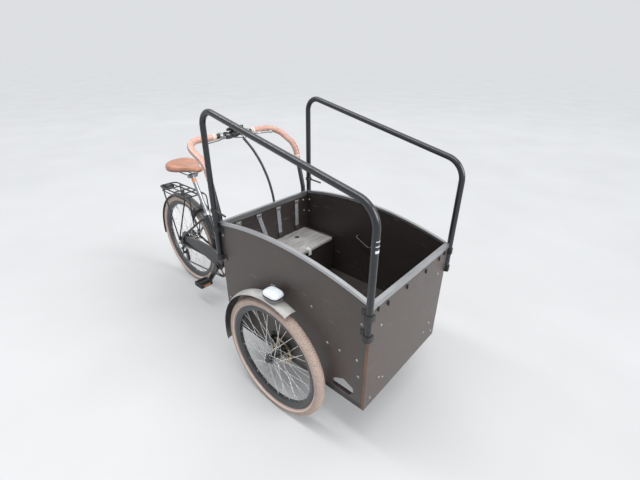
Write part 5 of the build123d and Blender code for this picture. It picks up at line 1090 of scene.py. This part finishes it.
# Marks round the front of the right rail's front leg, each from one height to another
RAIL_X, RAIL_Y = at_x(0.458), -0.3193
MARKS = ((1.0355, 1.0385), (1.0185, 1.0215), (0.9960, 1.0060))
MARK_R, MARK_T = 0.0131, 0.0006
MARK_FROM, MARK_TO = -52, 80


def rail_mark(low, high):
    """A mark bent round the rail's front: point = rail + radius (cos t, sin t) at its middle height."""
    t = np.radians(np.linspace(MARK_FROM, MARK_TO, 28))
    x, y = RAIL_X + MARK_R * np.cos(t), RAIL_Y + MARK_R * np.sin(t)
    return ribbon(np.stack([x, y, 0 * t + (low + high) / 2], -1), high - low, MARK_T, (0, 0, 1))


piece("rail_marks", [rail_mark(low, high) for low, high in MARKS], MARK, "front_carrier")


# The display, its face turned back and up to the rider, on its clamp, and the shifter beside it
BAR_CROSS = np.array((at_x(-0.645), 0, 1.162))
BAR_R = 0.0125
# Where each clamp starts and ends along y, and its thickness
DISPLAY_CLAMP = (-0.020, 0.020, 0.005)
SHIFTER_CLAMP = (-0.058, -0.040, 0.004)
CLAMP_GAP, CLAMP_CHAMFER = 0.0002, 0.001
DISPLAY_MIDDLE = BAR_CROSS + (0.014, 0, 0.032)
DISPLAY_TILT = -22.0
SCREEN_UP = 0.0066
# Size and corner radius, then the place back from the display's middle and above its face's middle
DISPLAY_HEAD = ((0.052, 0.078, 0.013), 0.0045)
DISPLAY_BUTTONS = ((0.006, 0.052, 0.0016), 0.0007, 0.0205, SCREEN_UP)
SCREEN = ((0.034, 0.060, 0.0018), 0.0008, -0.0035, SCREEN_UP)
NECK, NECK_PLACE = ((0.026, 0.026, 0.018), 0.004), (0.008, 0, 0.018)
SHIFTER_Y, SHIFTER_TURN, THUMB_TURN = -0.050, 20, 32
# Size, corner radius, turn about z, the place from the crossbar's middle, and the steps of the body's
# finer corners
SHIFTER_BODY = ((0.036, 0.026, 0.020), 0.006, SHIFTER_TURN, (0.020, SHIFTER_Y, -0.004), 4)
THUMB_LEVER = ((0.034, 0.011, 0.004), 0.0018, THUMB_TURN, (0.002, SHIFTER_Y - 0.006, -0.0155))
GEAR_WINDOW = ((0.016, 0.014, 0.0014), 0.0006, SHIFTER_TURN, (0.022, SHIFTER_Y, 0.0062))


def bar_clamp(y0, y1, thickness):
    """A clamp ring round the crossbar: a rectangle with chamfered outer corners turned about the bar."""
    inner, outer = BAR_R + CLAMP_GAP, BAR_R + thickness
    shoulder = outer - CLAMP_CHAMFER
    profile = [(y0, inner), (y0, shoulder), (y0 + CLAMP_CHAMFER, outer), (y1 - CLAMP_CHAMFER, outer),
               (y1, shoulder), (y1, inner)]
    return lathe(profile, 40, BAR_CROSS, (0, 1, 0), closed=True)


def on_display(size, radius, back=0.0, up=0.0):
    """A rounded box lying in the display's tilted face, at a place back from its middle and above it."""
    box = shifted(rounded_box(size, radius), (-back, 0, up))
    return shifted(turned(box, DISPLAY_TILT, "Y"), DISPLAY_MIDDLE)


def by_shifter(size, radius, turn, place, steps=3):
    """A rounded box turned about z, at a place from the crossbar's middle."""
    return shifted(turned(rounded_box(size, radius, steps), turn, "Z"), BAR_CROSS + place)


cockpit = [
    bar_clamp(*DISPLAY_CLAMP),
    shifted(rounded_box(*NECK), BAR_CROSS + NECK_PLACE),
    on_display(*DISPLAY_HEAD),
    on_display(*DISPLAY_BUTTONS),
    bar_clamp(*SHIFTER_CLAMP),
    by_shifter(*SHIFTER_BODY),
    by_shifter(*THUMB_LEVER),
]
piece("cockpit", cockpit, PLASTIC, "front_carrier", ["display_and_shifter"])
piece("display_screen", [on_display(*SCREEN), by_shifter(*GEAR_WINDOW)], PALE_PLASTIC, "front_carrier")


# Battery: the cover's seam, the charge port's flap with its hinge, the lock and the charge lights
case_low, case_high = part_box("battery_case")
CASE_MIDDLE_X = (case_low.x + case_high.x) / 2
CASE_CORNER = 0.018
SEAM_DROP = 0.026
# (out, up) of the seam's section
SEAM_SECTION = ((-0.002, 0), (0.0009, 0), (0.0014, 0.0008), (0.0014, 0.0022), (0.0009, 0.003),
                (-0.002, 0.003))
# How far the flap's and the hinge's middles lie out from the case's side, and how high
FLAP, FLAP_CORNER, FLAP_OUT, FLAP_Z = (0.030, 0.004, 0.020), 0.0019, 0.0005, 0.515
HINGE_HALF, HINGE_R, HINGE_OUT, HINGE_Z = 0.012, 0.0018, 0.002, 0.527
# (out, radius) of the lock in mm
LOCK = ((-2, 9.5), (1.2, 9.5), (1.8, 8.5), (1.8, 5.8), (0.8, 5.4), (0.8, 1.6), (-0.6, 1.2))
LOCK_Z = 0.530
LIGHT, LIGHT_CORNER = (0.0026, 0.0070, 0.0014), 0.0006
LIGHT_PITCH, LIGHT_Y, LIGHT_RISE = 0.0085, 0.012, 0.0002

seam_profile = np.array(SEAM_SECTION) + (0, case_high.z - SEAM_DROP)
seam = hoop((case_low.x, case_low.y), (case_high.x, case_high.y), CASE_CORNER, seam_profile)
flap = shifted(rounded_box(FLAP, FLAP_CORNER), (CASE_MIDDLE_X, case_low.y - FLAP_OUT, FLAP_Z))
hinge_ends = [[(CASE_MIDDLE_X + end * HINGE_HALF, case_low.y - HINGE_OUT, HINGE_Z)] for end in (-1, 1)]
piece("battery_seam", [seam, flap, rods(*hinge_ends, HINGE_R)], HUB_BLACK, "rear_frame")
lock = lathe(np.array(LOCK) / 1000, 32, (CASE_MIDDLE_X, case_high.y, LOCK_Z), (0, 1, 0))
lights = [shifted(rounded_box(LIGHT, LIGHT_CORNER),
                  (CASE_MIDDLE_X + i * LIGHT_PITCH, LIGHT_Y, case_high.z + LIGHT_RISE))
          for i in (-1.5, -0.5, 0.5, 1.5)]
piece("battery_lock", [lock, *lights], BOLT_STEEL, "rear_frame")


# The pedals' reflectors, one at each end
REFLECTOR, REFLECTOR_CORNER = (0.0024, 0.046, 0.012), 0.0010
for side, _ in SIDES:
    low, high = [np.array(corner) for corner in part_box(f"pedal_{side}")]
    reach = (high - low) / 2 * (1, 0, 0)
    plates = [shifted(rounded_box(REFLECTOR, REFLECTOR_CORNER), (low + high) / 2 + end * reach)
              for end in (-1, 1)]
    piece(f"pedal_reflectors_{side}", plates, AMBER, f"pedal_{side}")


# Studio: floor, light and camera
FLOOR_REACH = 60.0
NEAR_FLOOR, FAR_FLOOR = (0.50, 0.505, 0.51, 1), (0.63, 0.636, 0.645)
FLOOR_FADE = (2.0, 8.0)
SKY_COLOUR, SKY_STRENGTH = (0.95, 0.97, 1.0, 1), 0.76
CAMERA_PLACE = (1.5564, -1.1744, 1.5417)
CAMERA_YAW = 131.0
CAMERA_PITCH = 27.11
CAMERA_ROLL = 0.40
FOCAL_PIXELS = 366.0
PHOTO_WIDTH = 640.0
SENSOR = 36.0


def floor_paint():
    """Pale floor paint, paler the farther it is from the middle, faintly clouded."""
    made = Surface("floor_paint", "none")
    run = made.node("ShaderNodeVectorMath", {0: made.where}, operation="LENGTH").outputs["Value"]
    out = made.mixed(made.ranged(run, *FLOOR_FADE), NEAR_FLOOR, FAR_FLOOR)
    made.join(made.shader, {"Base Color": made.clouded(out, made.noise(1.2), 0.03), "Roughness": 0.55,
                            "Specular IOR Level": 0.0})
    return made.made


def lamp(name, kind, place, target, power, **values):
    """A lamp at a place, turned towards its target."""
    light = bpy.data.lights.new(name, kind)
    for key, value in {"energy": power, **values}.items():
        setattr(light, key, value)
    stand = bpy.data.objects.new(name, light)
    stand.location = place
    stand.rotation_mode = "QUATERNION"
    stand.rotation_quaternion = (Vector(target) - Vector(place)).to_track_quat("-Z", "Y")
    bpy.context.scene.collection.objects.link(stand)


def studio():
    """A pale floor under a soft sky, a wide overhead light, a long strip and a soft low key."""
    mesh = bpy.data.meshes.new("studio_floor")
    corners = [(x * FLOOR_REACH, y * FLOOR_REACH, 0) for x, y in ((-1, -1), (1, -1), (1, 1), (-1, 1))]
    mesh.from_pydata(corners, [], [(0, 1, 2, 3)])
    floor = bpy.data.objects.new("studio_floor", mesh)
    bpy.context.scene.collection.objects.link(floor)
    mesh.materials.append(floor_paint())
    world = bpy.data.worlds.new("sky")
    bpy.context.scene.world = world
    world.use_nodes = True
    sky = world.node_tree.nodes["Background"]
    sky.inputs["Color"].default_value = SKY_COLOUR
    sky.inputs["Strength"].default_value = SKY_STRENGTH
    lamp("overhead", "AREA", (0.0, 0.8, 6.0), (0.0, 0.3, 0.0), 175, shape="RECTANGLE", size=8.0, size_y=8.0)
    lamp("strip", "AREA", (0.2, -1.2, 4.0), (0.2, 0.0, 0.8), 90, shape="RECTANGLE", size=5.0, size_y=0.45)
    lamp("key", "SUN", (4.2, 0.8, 2.4), (0.4, 0.0, 0.5), 3.0, angle=0.7)
    bpy.context.scene.view_settings.view_transform = "Standard"


def camera():
    """The photo's camera: yaw from +X, pitch down and roll, in degrees."""
    yaw, pitch, roll = (math.radians(a) for a in (CAMERA_YAW, CAMERA_PITCH, CAMERA_ROLL))
    ahead = Vector((math.cos(yaw) * math.cos(pitch), math.sin(yaw) * math.cos(pitch), -math.sin(pitch)))
    right = ahead.cross(Vector((0, 0, 1))).normalized()
    up = right.cross(ahead)
    right, up = right * math.cos(roll) + up * math.sin(roll), up * math.cos(roll) - right * math.sin(roll)
    data = bpy.data.cameras.new("camera")
    data.sensor_width = SENSOR
    data.lens = FOCAL_PIXELS / PHOTO_WIDTH * SENSOR
    data.clip_start = 0.02
    eye = bpy.data.objects.new("camera", data)
    eye.matrix_world = Matrix((right, up, -ahead)).transposed().to_4x4()
    eye.location = CAMERA_PLACE
    bpy.context.scene.collection.objects.link(eye)
    bpy.context.scene.camera = eye


studio()
camera()
